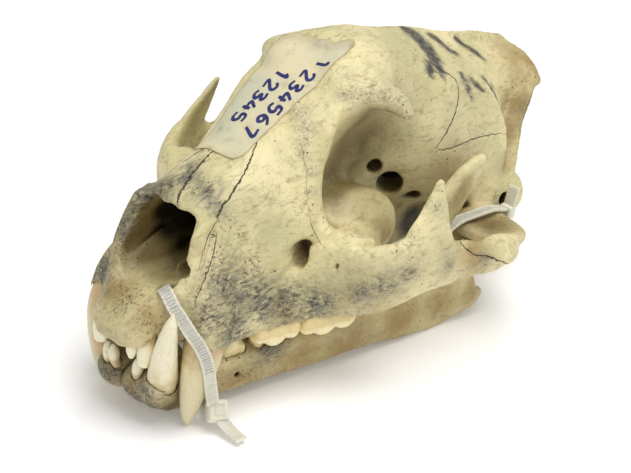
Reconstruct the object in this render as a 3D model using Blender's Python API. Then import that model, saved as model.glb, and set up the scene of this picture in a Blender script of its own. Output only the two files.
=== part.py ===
"""A leopard skull with its lower jaw tied shut: bones, teeth, two plastic ties and a paper label.

The bones and teeth are grown as smooth volumes: rounded masses, swept bars and a lofted snout and
braincase are blended into one another, holes are blended out of them, and the surface is read from the
volume and thinned to flat facets. Everything is drawn in millimetres in the skull's own frame: x to the
animal's left, y back from the front of the upper jaw, z up from the rim of the upper tooth sockets.
The whole is then tipped to rest on its lower jaw, centred over its footprint and scaled to metres.
"""

import math

import bmesh
import bpy
import numpy as np
import openvdb
from mathutils import Matrix, Vector
from mathutils.bvhtree import BVHTree

NAME = "leopard_skull"
MM = 0.001
FAR = 50.0

BONE_VOXEL = 1.5
TOOTH_VOXEL = 0.7
REST_PITCH = 3.8
REST_FLAT = 0.6
SOCKET_GAP = 0.4
SYMPHYSIS_GAP = 0.8
CRANIUM_FACETS = 3300
JAW_FACETS = 600
TOOTH_FACETS = 76

TIE_WIDTH = 4.4
TIE_THICKNESS = 1.2
TIE_CLEARANCE = 0.7
FRONT_HEAD_SIZE = (7.4, 7.8, 5)
REAR_HEAD_SIZE = (5.6, 5.2, 4)
PUSH_ROUNDS = 12
PUSH_SHARE = 0.6
REACH = 4.0

LABEL_THICKNESS = 0.4
LABEL_GAP = 0.9
LABEL_ROWS = 17
LABEL_COLUMNS = 9
SKY = 120.0


def smooth_least(a, b, blend):
    """The smaller of two distances, rounded off over the blend width where they are close."""
    mix = np.clip(0.5 + 0.5 * (b - a) / blend, 0.0, 1.0)
    return b + (a - b) * mix - blend * mix * (1.0 - mix)


def spline(points, steps):
    """Points on a Catmull-Rom curve through the given rows, with this many steps a span."""
    rows = np.asarray(points, float)
    padded = np.vstack([2 * rows[0] - rows[1], rows, 2 * rows[-1] - rows[-2]])
    found = []
    for i in range(len(rows) - 1):
        before, start, end, after = padded[i : i + 4]
        for step in range(steps):
            t = step / steps
            found.append(
                0.5
                * (
                    2 * start
                    + (end - before) * t
                    + (2 * before - 5 * start + 4 * end - after) * t * t
                    + (3 * start - before - 3 * end + after) * t**3
                )
            )
    found.append(rows[-1])
    return np.array(found)


class Mass:
    """An ellipsoid, turned by degrees about x, then y, then z."""

    def __init__(self, centre, radii, turn=(0, 0, 0)):
        self.centre = np.array(centre, float)
        self.radii = np.array(radii, float)
        angles = [math.radians(angle) for angle in turn]
        self.axes = np.array(
            Matrix.Rotation(angles[2], 3, "Z")
            @ Matrix.Rotation(angles[1], 3, "Y")
            @ Matrix.Rotation(angles[0], 3, "X")
        )
        reach = np.abs(self.axes) @ self.radii
        self.low, self.high = self.centre - reach, self.centre + reach

    def distance(self, points):
        local = (points - self.centre) @ self.axes
        near = np.linalg.norm(local / self.radii, axis=-1)
        steep = np.linalg.norm(local / self.radii**2, axis=-1)
        return near * (near - 1.0) / np.maximum(steep, 1e-6)


class Bar:
    """A curved bar of elliptical section, which may taper.

    Each stop is (x, y, z, half width, half depth). The width lies along the side direction, which may
    turn from one end to the other, and the depth at right angles to it and to the bar.
    """

    def __init__(self, stops, side=(1, 0, 0), end_side=None, steps=4):
        rows = spline(stops, steps)
        self.points = rows[:, :3]
        self.radii = np.maximum(rows[:, 3:5], 0.15)
        share = np.linspace(0, 1, len(rows))[:, None]
        self.sides = np.array(side, float) * (1 - share) + np.array(
            side if end_side is None else end_side, float
        ) * share
        reach = self.radii.max(axis=1)[:, None]
        self.low = (self.points - reach).min(axis=0)
        self.high = (self.points + reach).max(axis=0)

    def distance(self, points):
        best = np.full(points.shape[:-1], FAR)
        for i in range(len(self.points) - 1):
            start, run = self.points[i], self.points[i + 1] - self.points[i]
            length = np.linalg.norm(run)
            along = run / length
            offset = points - start
            share = np.clip(offset @ along / length, 0.0, 1.0)
            side = self.sides[i] - along * (self.sides[i] @ along)
            side /= np.linalg.norm(side)
            third = np.cross(along, side)
            offset = offset - share[..., None] * run
            radii = self.radii[i] + share[..., None] * (self.radii[i + 1] - self.radii[i])
            ends = radii.min(axis=-1)
            parts = (
                (offset @ side, radii[..., 0]),
                (offset @ third, radii[..., 1]),
                (offset @ along, ends),
            )
            near = np.sqrt(sum((part / radius) ** 2 for part, radius in parts))
            steep = np.sqrt(sum((part / radius**2) ** 2 for part, radius in parts))
            best = np.minimum(best, near * (near - 1.0) / np.maximum(steep, 1e-6))
        return best


class Loft:
    """A body of half sections set along y, each an outline from its top to its bottom on the midline.

    A section is (y, height of its middle, outline points (x, z)). The outline is read as a radius round
    the middle, smooth between its points and between sections.
    """

    ANGLES = 49

    def __init__(self, sections, steps=4):
        angles = np.linspace(0, math.pi, self.ANGLES)
        rows = []
        for y, middle, outline in sections:
            mirrored = [(-x, z) for x, z in outline[1:2]] + list(outline)
            mirrored += [(-x, z) for x, z in outline[-2:-1]]
            curve = spline(mirrored, 6) - (0, middle)
            turn = np.arctan2(curve[:, 0], curve[:, 1])
            radius = np.hypot(curve[:, 0], curve[:, 1])
            turn[-6:] = np.where(turn[-6:] < 0, turn[-6:] + 2 * math.pi, turn[-6:])
            order = np.argsort(turn)
            rows.append([y, middle, *np.interp(angles, turn[order], radius[order])])
        rows = spline(rows, steps)
        self.y, self.middle, self.radius = rows[:, 0], rows[:, 1], rows[:, 2:]
        widest = self.radius.max()
        self.low = np.array([-widest, self.y[0], (self.middle - widest).min()])
        self.high = np.array([widest, self.y[-1], (self.middle + widest).max()])

    def distance(self, points):
        place = np.interp(points[..., 1], self.y, np.arange(len(self.y)))
        row = np.clip(place.astype(int), 0, len(self.y) - 2)
        share = place - row
        middle = np.interp(points[..., 1], self.y, self.middle)
        across, up = np.abs(points[..., 0]), points[..., 2] - middle
        turn = np.arctan2(across, up) / math.pi * (self.ANGLES - 1)
        column = np.clip(turn.astype(int), 0, self.ANGLES - 2)
        part = turn - column
        near = self.radius[row, column] * (1 - part) + self.radius[row, column + 1] * part
        far = self.radius[row + 1, column] * (1 - part) + self.radius[row + 1, column + 1] * part
        outside = np.hypot(across, up) - (near * (1 - share) + far * share)
        ends = np.maximum(self.y[0] - points[..., 1], points[..., 1] - self.y[-1])
        return np.maximum(outside * 0.85, ends)


class Volume:
    """Blended shapes on a regular grid, whose zero surface becomes a mesh."""

    def __init__(self, low, high, voxel, mirrored=False):
        self.voxel, self.mirrored = voxel, mirrored
        self.low = np.array(low, float)
        if mirrored:
            self.low[0] = 0.0
        counts = np.ceil((np.array(high) - self.low) / voxel).astype(int) + 1
        self.axes = [self.low[i] + voxel * np.arange(counts[i]) for i in range(3)]
        self.values = np.full(counts, FAR, np.float64)

    def window(self, shape, margin):
        """The grid's index ranges round a shape, and the points in them."""
        ranges = []
        for axis, low, high in zip(self.axes, shape.low - margin, shape.high + margin):
            start = int(np.searchsorted(axis, low))
            stop = int(np.searchsorted(axis, high))
            ranges.append(slice(start, max(stop, start)))
        grid = np.meshgrid(*[axis[r] for axis, r in zip(self.axes, ranges)], indexing="ij")
        return tuple(ranges), np.stack(grid, axis=-1)

    def add(self, shape, blend=3.0):
        ranges, points = self.window(shape, blend + 2 * self.voxel)
        if points.size:
            self.values[ranges] = smooth_least(
                self.values[ranges], shape.distance(points), blend
            )

    def cut(self, shape, blend=1.5, clear=0.0):
        ranges, points = self.window(shape, blend + clear + 2 * self.voxel)
        if points.size:
            self.values[ranges] = -smooth_least(
                -self.values[ranges], shape.distance(points) - clear, blend
            )

    def mesh(self):
        """(points, triangles, quads) of the surface."""
        values = self.values
        low = self.low.copy()
        if self.mirrored:
            values = np.concatenate([values[:0:-1], values])
            low[0] = -self.axes[0][-1]
        grid = openvdb.FloatGrid(FAR)
        grid.copyFromArray(np.ascontiguousarray(values, np.float32))
        points, triangles, quads = grid.convertToPolygons(0.0, 0.0)
        return points * self.voxel + low, triangles, quads


# Half sections of the snout and braincase: (y, height of the middle, outline from top to bottom).
BODY = [
    (-1, 0, [(0, 2), (4, 2), (6, 0), (5, -2), (0, -2)]),
    (3, 2, [(0, 6), (7, 6), (12, 3), (12, -1), (8, -3), (0, -2.5)]),
    (8, 4, [(0, 10.5), (8, 11), (13, 8.5), (14.8, 3), (13.5, -1.5), (9, -2), (0, -1)]),
    (13, 7, [(0, 14), (7, 15), (14.5, 16), (17.2, 10.5), (17.4, 3), (15, -1), (10, -1), (0, 0)]),
    (18, 13, [(0, 24), (8, 26), (15.5, 26), (19.5, 16), (23, 4), (22, -1), (15, -1), (0, 3)]),
    (25, 19, [(0, 42), (10, 40.5), (16.5, 35), (21, 21), (26, 9), (26, 0), (18, 0), (0, 5)]),
    (36, 22, [(0, 47), (10, 45.5), (17, 39), (22, 26), (25.5, 12), (26, 0), (19, 0), (0, 6)]),
    (50, 25, [(0, 51), (9, 50.5), (17, 45), (24, 31), (28, 17), (31, 1), (24, -1), (0, 7)]),
    (60, 28, [(0, 57), (9, 56), (16.5, 51), (22, 44), (27, 35), (31, 23), (36, 8), (33, -1), (22, 2),
              (0, 8)]),
    (68, 32, [(0, 62), (10, 61), (18, 57), (22.5, 51), (25.5, 41), (31, 29), (37, 17), (38, 4),
              (30, 0), (0, 9)]),
    (75, 34, [(0, 66.5), (10, 66), (19, 62), (21.5, 53), (19, 42), (22, 32), (34, 22), (37, 8),
              (28, 1), (0, 9)]),
    (85, 38, [(0, 72.5), (11, 72), (21, 66.5), (19, 55), (16, 43), (17, 32), (28, 20), (22, 8),
              (0, 10)]),
    (99, 44, [(0, 79), (12, 79), (22, 74), (24, 67), (17, 56), (15, 43), (14.5, 30), (16, 19),
              (9, 13), (0, 13)]),
    (112, 47, [(0, 80.5), (9, 79.5), (18, 74), (21, 64), (19, 53), (17.5, 41), (16, 29), (14, 20),
               (8, 15), (0, 15)]),
    (125, 45, [(0, 77.5), (8, 75), (17, 67), (24, 56), (27, 43), (25, 29), (19, 19), (10, 15),
               (0, 14)]),
    (140, 41, [(0, 74), (8, 71), (19, 63.5), (28, 52), (33, 39), (32, 26), (25, 15), (12, 11),
               (0, 11)]),
    (156, 37, [(0, 69), (8, 66), (19, 59.5), (29, 49), (34, 37), (34, 24), (29, 13), (14, 9), (0, 10)]),
    (167, 35, [(0, 65.5), (7, 63), (17, 57), (27, 48), (32.8, 38), (34, 26), (31, 14), (14, 9), (0, 10)]),
    (175, 33, [(0, 62.8), (7, 60.5), (15, 55), (21, 47.5), (25, 37), (27, 26), (27.5, 14), (22, 9),
               (12, 9), (0, 10)]),
    (182, 32, [(0, 61), (7, 59), (14, 54), (18, 47), (20, 38), (21.5, 28), (23, 17), (20, 10),
               (12, 9), (0, 10)]),
    (190, 32, [(0, 58.5), (8, 57), (15, 53), (18.5, 47), (17.5, 39), (16, 30), (16, 20), (14, 12),
               (7, 11), (0, 12)]),
    (197, 34, [(0, 57.5), (8, 56), (16, 52.5), (20, 47.5), (15, 41), (12, 32), (11, 22), (9, 14),
               (6, 12), (0, 13)]),
    (202, 46, [(0, 55.5), (6, 54.5), (11, 52), (13, 48), (10, 44), (6, 41), (0, 39)]),
]


def canine_upper(side):
    stops = [
        (21, 26, 9, 3.8, 5.5), (22, 23.6, 4, 5.2, 7.4), (22.8, 21.2, -2, 5.9, 8.2),
        (23.2, 19.3, -9, 5.4, 7.4),
        (22.8, 17.9, -17, 4.4, 5.7), (21.8, 17.3, -25, 3, 3.8), (20.6, 17.8, -33.2, 0.8, 0.8),
    ]
    return [(Bar(mirror(stops, side)), 0.5)]


def canine_lower(side):
    stops = [
        (12, 15.5, -24, 3.4, 4), (13, 12.8, -20.5, 4.2, 4.8), (15, 10, -14, 5, 5.5),
        (17.3, 8, -5, 4.3, 4.6), (19.4, 6.8, 4, 3.2, 3.4), (20.9, 6.3, 10.5, 1.9, 2),
        (21.6, 6.4, 14.6, 0.5, 0.5),
    ]
    if side < 0:
        stops = [(11.6, 15.5, -24, 3.2, 3.8), (12.3, 13.4, -20.5, 3.8, 4.4), (13.7, 11, -15.5, 4.2, 4.6),
                 (14.6, 10, -10.5, 3.6, 4), (15, 9.6, -8, 2.6, 2.8)]
    return [(Bar(mirror(stops, side)), 0.5)]


def peg(side, root, neck, tip, radius, depth):
    """An incisor: a blunt peg from its root through its neck to its tip."""
    stops = [(*root, radius * 0.85, depth * 0.85), (*neck, radius, depth),
             (*tip, radius * 0.75, depth * 0.6)]
    return [(Bar(mirror(stops, side)), 0.5)]


def mirror(stops, side):
    return [(stop[0] * side, *stop[1:]) for stop in stops]


def blade(side, front, back, half_width, root, gum, cusps):
    """A cheek tooth: a bar along the tooth row with pointed cusps along it.

    Each cusp is (share of the way back, half length, height of its tip). Root is the height where the
    tooth ends in its socket, and gum the height where the crown begins.
    """
    front, back = np.array(front, float), np.array(back, float)
    middle = (root + gum) / 2
    half = abs(root - gum) / 2
    row = [(*(front + (back - front) * share), middle) for share in (0.12, 0.5, 0.88)]
    shapes = [(Bar(mirror([(*place, half_width * 0.65, half + 0.6) for place in row], side)), 1.0)]
    direction = (back - front) / np.linalg.norm(back - front)
    for share, length, tip in cusps:
        x, y = front + (back - front) * share
        stops = [
            (x, y, gum, half_width, length),
            (x, y, gum + (tip - gum) * 0.55, half_width * 0.72, length * 0.62),
            (x * 0.995, y, tip, 0.7, 0.9),
        ]
        across = (direction[1] * side, -direction[0], 0)
        shapes.append((Bar(mirror(stops, side), side=across, steps=2), 1.2))
    return shapes


def tooth_shapes():
    """The blended shapes of every tooth, by its name."""
    teeth = {}
    for word, side in (("left", 1), ("right", -1)):
        teeth[f"upper_canine_{word}"] = canine_upper(side)
        teeth[f"lower_canine_{word}"] = canine_lower(side)
        teeth[f"upper_incisor_3_{word}"] = peg(side, (11, 9.6, 6), (10.9, 6.5, 0.5),
                                               (10.6, 4.9, -8.4), 2.6, 2.8)
        teeth[f"upper_incisor_2_{word}"] = peg(side, (6.6, 6.4, 4), (6.8, 3.4, -1), (6.9, 2.9, -6.6),
                                               1.8, 2.3)
        teeth[f"lower_incisor_3_{word}"] = peg(side, (6.2, 9, -20), (7, 6.4, -15), (7.3, 6, -9.5),
                                               1.9, 2.2)
        teeth[f"upper_premolar_3_{word}"] = blade(
            side, (28, 41), (33, 57.5), 3.7, 2, -3,
            [(0.2, 3, -6.5), (0.5, 4.5, -10), (0.83, 3, -6.5)],
        )
        teeth[f"upper_premolar_4_{word}"] = blade(
            side, (34, 59), (39.3, 79), 3.7, 2, -3.2,
            [(0.12, 2.8, -6), (0.42, 4.8, -11), (0.78, 4.6, -9.5)],
        )
        teeth[f"lower_premolar_3_{word}"] = blade(
            side, (19.5, 31.5), (22, 41.5), 3, -16, -11,
            [(0.2, 2.2, -7.5), (0.5, 3.2, -3.5), (0.82, 2.2, -7.5)],
        )
        teeth[f"lower_premolar_4_{word}"] = blade(
            side, (22.5, 43.5), (25.5, 58.5), 3, -16, -11,
            [(0.18, 2.6, -7), (0.5, 4, -2.5), (0.83, 2.8, -7)],
        )
        teeth[f"lower_molar_1_{word}"] = blade(
            side, (26, 60.5), (29, 77), 3, -16, -11,
            [(0.27, 4.2, -2), (0.72, 4.2, -2)],
        )
    teeth["lower_incisor_2_right"] = peg(-1, (3, 8.5, -19), (3.4, 5.4, -14), (3.6, 4.8, -8.5), 1.7, 2)
    return teeth


def grow_cranium(voxel):
    v = Volume((0, -8.37, -12.41), (74, 212, 92), voxel, True)
    v.add(Loft(BODY), 1.0)
    # Canine root swelling and the ridge over the tooth row.
    v.add(Bar([(22.4, 22, 4.6, 5.2, 7.6), (21.6, 24, 11, 4.4, 6.4), (19, 31, 22, 2.6, 4)]), 4)
    v.add(Bar([(24.5, 33, 1, 3.5, 3.5), (28.5, 46, 1.5, 4.2, 3.8), (33.2, 62, 1.5, 4.4, 4.2),
               (37.2, 78, 2, 4.2, 4.2)]), 3)
    # Cheek bone arch.
    v.add(
        Bar(
            [
                (31, 60, 13, 4, 13), (40, 68, 14, 4.5, 14), (49.5, 76.5, 16, 4.5, 13),
                (56, 86, 19.5, 3.8, 11),
                (59, 96, 18.5, 3.2, 9), (60.3, 107, 16.5, 3, 7.5), (61.3, 118, 14, 3, 6),
                (61.3, 127, 12.8, 3.2, 6.6), (60.4, 135, 11.6, 3.8, 5.6), (58, 141.5, 10.4, 4, 4.6),
                (54, 146, 9.6, 4.4, 4), (46, 149.5, 9.4, 7, 3), (35, 151, 9.2, 9, 3.4),
            ],
            side=(1, -0.7, 0), end_side=(0.1, 1, 0.2), steps=3,
        ),
        3,
    )
    v.add(
        Bar(
            [(56.5, 90, 21, 3, 12.5), (56.2, 93.4, 30, 2.4, 9), (55, 97.2, 38.5, 1.8, 5.2),
             (53.6, 100.4, 46.5, 1.1, 1.7)],
            side=(1, -0.35, 0),
        ),
        2.5,
    )
    # Process behind the brow.
    v.add(
        Bar(
            [(12, 92, 72, 8, 6), (22, 98, 69.8, 6.4, 5), (28.6, 102.6, 67, 4.6, 3.6),
             (32.4, 105, 63.4, 2.4, 2.2)],
            side=(0, 1, 0),
        ),
        4,
    )
    # Front rim of the eye socket.
    v.add(
        Bar(
            [(20, 88, 66, 2, 2), (20, 80.5, 63.5, 2, 2), (21.5, 74, 53, 2, 2.4), (24, 69, 40, 2.4, 2.6),
             (29, 66.5, 31, 3, 3), (36, 70, 26.5, 3.5, 3), (44, 76, 26, 3, 3)],
        ),
        4,
    )
    # Back of the upper jaw, which bulges into the socket.
    v.add(Mass((24, 90, 21.5), (13, 18, 14), (0, 0, -15)), 7)
    v.add(Mass((35, 78, 16), (10, 12, 12), (0, 0, -30)), 6)
    # Crests at the back.
    v.add(Bar([(0, 150, 68, 1.6, 3), (0, 170, 63, 1.6, 4), (0, 188, 58.5, 1.8, 4),
               (0, 201, 55, 2, 3)]), 3)
    v.add(Bar([(0, 201.5, 54, 2.4, 2.4), (10, 201, 53, 2.8, 2), (18, 199, 50.5, 3, 1.6),
               (22.6, 196.4, 47.6, 2.8, 1.6)], side=(0, 1, 0.3), steps=3), 3)
    v.add(Bar([(18.6, 197, 47.6, 5, 1.5), (20.8, 190.5, 42.5, 5.6, 1.5), (22.4, 183.5, 35, 6.4, 1.7),
               (26, 177, 26, 6.6, 2.2), (30.6, 171, 18, 6.2, 3.4), (34, 167.5, 10, 4, 3)],
              side=(1, 0.15, 0.2), steps=3), 2.4)
    # Shelf and joint bar over the lower jaw, ear bulla, condyle and the process beside the condyle.
    v.add(Mass((44, 147, 9.4), (15, 10, 4.2), (0, 0, 12)), 3)
    v.add(Bar([(30, 155, 5, 4, 3.5), (42, 156, 4.5, 3.6, 5), (53, 152, 7, 3.2, 3)], side=(0, 1, 0)), 3)
    v.add(Mass((20, 163, 6), (10, 17, 10), (0, 0, 12)), 2)
    v.add(Mass((30.5, 162, 14), (6, 10, 8)), 3)
    v.add(Mass((28.6, 178, 8), (7, 8, 9)), 3)
    v.add(Mass((11, 194, 17), (6.5, 6, 9), (-20, 0, 20)), 2)
    v.add(Bar([(27, 176, 14, 4, 4), (28, 180, 5, 2.5, 3)]), 3)
    # Wings beside the inner nostrils.
    v.add(Bar([(13, 92, 12, 2.4, 6), (13, 106, 9, 2, 7), (13.5, 122, 7, 1.8, 8),
               (14, 136, 5, 1.5, 5), (14.5, 142, 3, 1.2, 2.5)]), 3)
    # Dish in the shelf.
    v.cut(Mass((46.5, 148, 20.6), (14.5, 15, 10), (0, 0, 12)), 3)
    # Nose, inner nostrils, brain cavity and the other openings.
    v.cut(
        Bar(
            [(0, 8, 27.5, 13.5, 14), (0, 18, 27, 13.5, 13.8), (0, 26, 26.5, 13.5, 14),
             (0, 40, 28, 13, 14),
             (0, 60, 30, 12, 14), (0, 80, 33, 10, 12)],
            steps=3,
        ),
        1.5,
    )
    v.cut(Mass((7.5, 22, 34), (6, 9, 7)), 1.5)
    # Tongue of the nasal bone that hangs over the edge of the opening.
    v.add(
        Bar([(13.5, 29, 39, 3, 1.6), (14.6, 23, 36, 2.6, 1.4), (15.6, 20, 31, 1.8, 1.1),
             (16, 19, 28.4, 1, 0.9)], side=(-0.3, 1, 0.4)),
        1,
    )
    v.cut(Bar([(0, 86, 18, 7, 5), (0, 105, 7, 7.5, 7), (0, 130, 3, 8, 6)]), 2)
    v.cut(Mass((0, 150, 38), (26, 33, 22), (4, 0, 0)), 2)
    v.cut(Bar([(0, 170, 28, 10, 9), (0, 208, 20, 9.5, 8)]), 2)
    v.cut(Mass((0, 212, 36), (26, 14, 12), (0, 0, 0)), 3)
    v.cut(Bar([(30.4, 48, 21, 3, 4), (29.5, 58, 22.3, 3.2, 4.8), (27.4, 64.5, 24, 2.2, 3.2)]), 2.2)
    v.cut(Bar([(18.6, 106.4, 33.6, 2.5, 3.1), (9, 122, 36, 2.6, 2.6)]), 1)
    v.cut(Bar([(21, 114.4, 25.4, 4.8, 5.8), (9, 131, 28, 4.6, 5)]), 1)
    v.cut(Bar([(27, 121.6, 17.4, 2.4, 2.8), (18, 134, 21, 2.4, 2.6)]), 1)
    v.cut(Bar([(42, 166.4, 13, 2.4, 2.6), (26, 168.4, 10, 2.4, 2.6)]), 1)
    v.cut(Bar([(4.6, 20, 16.5, 2.6, 3.9), (4.2, 15, -4, 1.9, 3.6)]), 0.8)
    return v


# The swelling round the lower canine's root, by side: less on the right, where the tooth leans inwards.
ROOT_SWELLING = {
    1: [(14.4, 9.4, -15.6, 5.2, 6), (13.2, 12.4, -22, 4.8, 6)],
    -1: [(11.4, 12.6, -19.5, 3.8, 4.4), (11.2, 15.5, -25, 4.2, 5)],
}


def grow_jaw(voxel, side):
    v = Volume((-2, -8.37, -46.41), (70, 160, 52), voxel)
    v.add(
        Bar(
            [(5.5, 9, -18, 4.4, 5.6), (11.3, 18.5, -21.6, 5.2, 10.6), (17, 35, -19.5, 5.6, 10),
             (23, 55, -18.5, 5.2, 9.6),
             (28, 75, -17.5, 4.8, 10.2), (33, 96, -16.2, 4.4, 10.2), (38, 116, -16.5, 3.8, 11),
             (41.5, 132, -16, 3, 10),
             (43, 142, -16, 2.6, 7)],
            steps=3,
        ),
        2,
    )
    v.add(Bar([(16, 27, -14, 4, 3.6), (20.5, 36, -13.8, 4.6, 4), (24, 51, -13.5, 4.6, 4),
               (28, 69, -13, 4.6, 4), (31, 84, -13, 4, 4)]), 2)
    # Blade for the chewing muscle, and its thick front edge.
    v.add(Bar([(36, 106, -8, 3, 12), (39.5, 116, 6, 2.6, 13), (42.3, 124, 19, 2, 9.2),
               (44.2, 133, 32, 1.6, 6.5), (44.6, 137.5, 40, 1.3, 2.6)]), 4)
    v.add(Bar([(36, 97, -8, 3.2, 4), (39.5, 105, 8, 3, 3.4), (42.5, 113, 25, 2.4, 2.8),
               (44, 124, 37, 2, 2.2), (44.6, 136, 41.5, 1.6, 1.8)]), 3)
    v.add(Bar([(41, 126, -2, 2.8, 11), (43, 138, -2, 3, 6), (44, 146, 0, 3.6, 4)]), 4)
    # Joint roller and the hooked corner.
    v.add(Bar([(31, 148, -0.5, 3.2, 3), (43, 147.5, 0, 3.8, 3.8),
               (54, 145, 1.5, 3.2, 3)], side=(0, 1, 0)), 3)
    v.add(Bar([(42.5, 136, -16, 2.6, 5), (43.5, 142, -19, 2.6, 3.6), (43.8, 146.5, -18, 2, 2)]), 3)
    # Chin, and the swelling round the canine's root.
    v.add(Mass((6, 11, -20.5), (8.4, 7.4, 6.4)), 3)
    v.add(Bar(ROOT_SWELLING[side]), 3)
    v.values = np.maximum(v.values, SYMPHYSIS_GAP / 2 - v.axes[0][:, None, None])
    return v


def grow_tooth(shapes, voxel):
    low = np.min([shape.low for shape, _ in shapes], axis=0) - 2
    high = np.max([shape.high for shape, _ in shapes], axis=0) + 2
    v = Volume(low, high, voxel)
    for shape, blend in shapes:
        v.add(shape, blend)
    return v


def material(name, colour, roughness):
    """A Principled material of one plain colour."""
    made = bpy.data.materials.new(name)
    made.use_nodes = True
    shader = made.node_tree.nodes["Principled BSDF"]
    shader.inputs["Base Color"].default_value = (*colour, 1)
    shader.inputs["Roughness"].default_value = roughness
    made.diffuse_color = (*colour, 1)
    return made


def add_object(name, points, faces, look, collection):
    mesh = bpy.data.meshes.new(name)
    mesh.from_pydata([tuple(map(float, point)) for point in points], [], faces)
    mesh.update()
    made = bpy.data.objects.new(name, mesh)
    made.data.materials.append(look)
    collection.objects.link(made)
    return made


def keep_largest(mesh):
    """Remove every loose part of a mesh but the largest."""
    work = bmesh.new()
    work.from_mesh(mesh)
    left = set(work.verts)
    parts = []
    while left:
        part, front = set(), [left.pop()]
        while front:
            vert = front.pop()
            part.add(vert)
            for edge in vert.link_edges:
                other = edge.other_vert(vert)
                if other in left:
                    left.discard(other)
                    front.append(other)
        parts.append(part)
    largest = max(parts, key=len)
    bmesh.ops.delete(work, geom=[v for v in work.verts if v not in largest], context="VERTS")
    work.to_mesh(mesh)
    work.free()


def keep_evaluated(made):
    """Replace an object's mesh by the result of its modifiers."""
    graph = bpy.context.evaluated_depsgraph_get()
    mesh = bpy.data.meshes.new_from_object(made.evaluated_get(graph))
    made.modifiers.clear()
    made.data = mesh


def thin(made, facets):
    """Thin an object's mesh to about this many triangles, and keep the result as its mesh."""
    modifier = made.modifiers.new("thin", "DECIMATE")
    triangles = sum(len(face.vertices) - 2 for face in made.data.polygons)
    modifier.ratio = min(1.0, facets / triangles)
    keep_evaluated(made)


def grown_object(name, volume, facets, look, collection, side=1):
    """A thinned object from a volume, on the animal's left (side 1) or mirrored to its right (-1)."""
    points, triangles, quads = volume.mesh()
    faces = [tuple(map(int, face)) for face in (*triangles, *quads)]
    if side < 0:
        points = points * (-1, 1, 1)
        faces = [face[::-1] for face in faces]
    made = add_object(name, points, faces, look, collection)
    keep_largest(made.data)
    thin(made, facets)
    return made


def cut_sockets(bone, teeth):
    """Cut a socket into a bone for each of its teeth, a little larger than the tooth."""
    cutters = []
    for tooth in teeth:
        cutter = bpy.data.objects.new(f"{tooth.name}_socket", tooth.data.copy())
        for vert in cutter.data.vertices:
            vert.co += vert.normal * SOCKET_GAP
        bpy.context.scene.collection.objects.link(cutter)
        socket = bone.modifiers.new("socket", "BOOLEAN")
        socket.operation = "DIFFERENCE"
        socket.object = cutter
        cutters.append(cutter)
    keep_evaluated(bone)
    for cutter in cutters:
        bpy.data.objects.remove(cutter)
    keep_largest(bone.data)


FRONT_STRAP = [
    (28.6, 21.6, -22.5), (29.4, 19.6, -15), (29.2, 17.2, -5.5), (27.7, 14.8, 2.4), (25.2, 12.6, 7.8),
    (21.2, 12.3, 10.8), (16.4, 11.7, 14.4), (12.6, 12.2, 16.9), (9, 14.2, 17.2), (6.2, 17.8, 15),
    (4.3, 18.4, 9),
    (4.2, 18, -2), (5.2, 24, -12),
    (8, 29.5, -21), (11.5, 31.5, -29.4), (16, 30.5, -31), (21, 28, -30.9), (25.6, 25.4, -29.3),
]
FRONT_SIDES = [
    (0.3, 0.95, 0.1), (0.3, 0.95, 0), (0.35, 0.9, 0.1), (0.4, 0.8, 0.35), (0.4, 0.75, 0.45),
    (0.4, 0.75, 0.5), (0.35, 0.75, 0.5), (0.35, 0.75, 0.5), (0.3, 0.9, 0.4), (0.1, 1, 0.2), (0, 1, 0),
    (0, 1, 0), (0, 1, 0.2),
    (0, 1, 0), (0, 1, 0), (0.1, 1, 0), (0.3, 0.9, 0), (0.4, 0.9, 0.1),
]
FRONT_HEAD = ((28.8, 23.4, -26.4), (-0.5, 0.3, 0.8), (0.35, 0.93, 0))
FRONT_TAIL = [(29.3, 23.4, -27), (33, 22.8, -29), (37.5, 22.8, -30.6), (41.8, 22.8, -31.2)]

REAR_STRAP = [
    (40.6, 161.6, 11.2), (40.2, 153, 12.8), (39.4, 144, 13.6), (38, 136, 13.2), (36.6, 129.8, 9),
    (36, 128, 1.5), (36, 133, -4.8), (36, 145, -6.8), (36.8, 156, -4.6), (38.8, 161.4, 1.6),
    (40, 162, 6.6),
]
REAR_SIDES = [(1, 0, 0)] * 11
REAR_HEAD = ((41.4, 163, 10), (0, 0.1, 1), (1, 0, 0))
REAR_TAIL = [(41.4, 163.4, 10.4), (41.4, 164.4, 15), (41.4, 165.6, 19.4)]
# The corners of a strap's section, as shares of its half width and half thickness.
CORNERS = ((-1, -1), (1, -1), (1, 1), (-1, 1))


def corners(route, across, i, signs=CORNERS):
    """The corners of a strap's section at a station of its route."""
    along = route[min(i + 1, len(route) - 1)] - route[max(i - 1, 0)]
    along = along / np.linalg.norm(along)
    side = across[i] - along * (across[i] @ along)
    side = side / np.linalg.norm(side)
    up = np.cross(along, side)
    return [route[i] + side * s * TIE_WIDTH / 2 + up * u * TIE_THICKNESS / 2 for s, u in signs]


def push_clear(route, across, trees):
    """Move the stations of a route until the strap's corners clear the bones and teeth near it."""
    for _ in range(PUSH_ROUNDS):
        for i in range(len(route)):
            for corner in corners(route, across, i, (*CORNERS, (0, -1), (0, 1))):
                for tree in trees:
                    place, normal, _, distance = tree.find_nearest(Vector(corner), REACH)
                    if place is None:
                        continue
                    out = (Vector(corner) - place).dot(normal)
                    lack = TIE_CLEARANCE - (distance if out > 0 else -distance)
                    if lack > 0:
                        route[i] = route[i] + np.array(normal) * lack * PUSH_SHARE


def strap_points(centres, sides, trees=(), steps=3):
    """Rings of four corners along a strap, and the faces that join them."""
    route = spline(centres, steps)
    across = spline(sides, steps)
    push_clear(route, across, trees)
    points, faces = [], []
    for i in range(len(route)):
        points += corners(route, across, i)
        if i:
            base = 4 * i
            for k in range(4):
                n = (k + 1) % 4
                faces.append((base - 4 + k, base - 4 + n, base + n, base + k))
    last = len(points) - 4
    faces.append((3, 2, 1, 0))
    faces.append((last, last + 1, last + 2, last + 3))
    return points, faces


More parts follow.
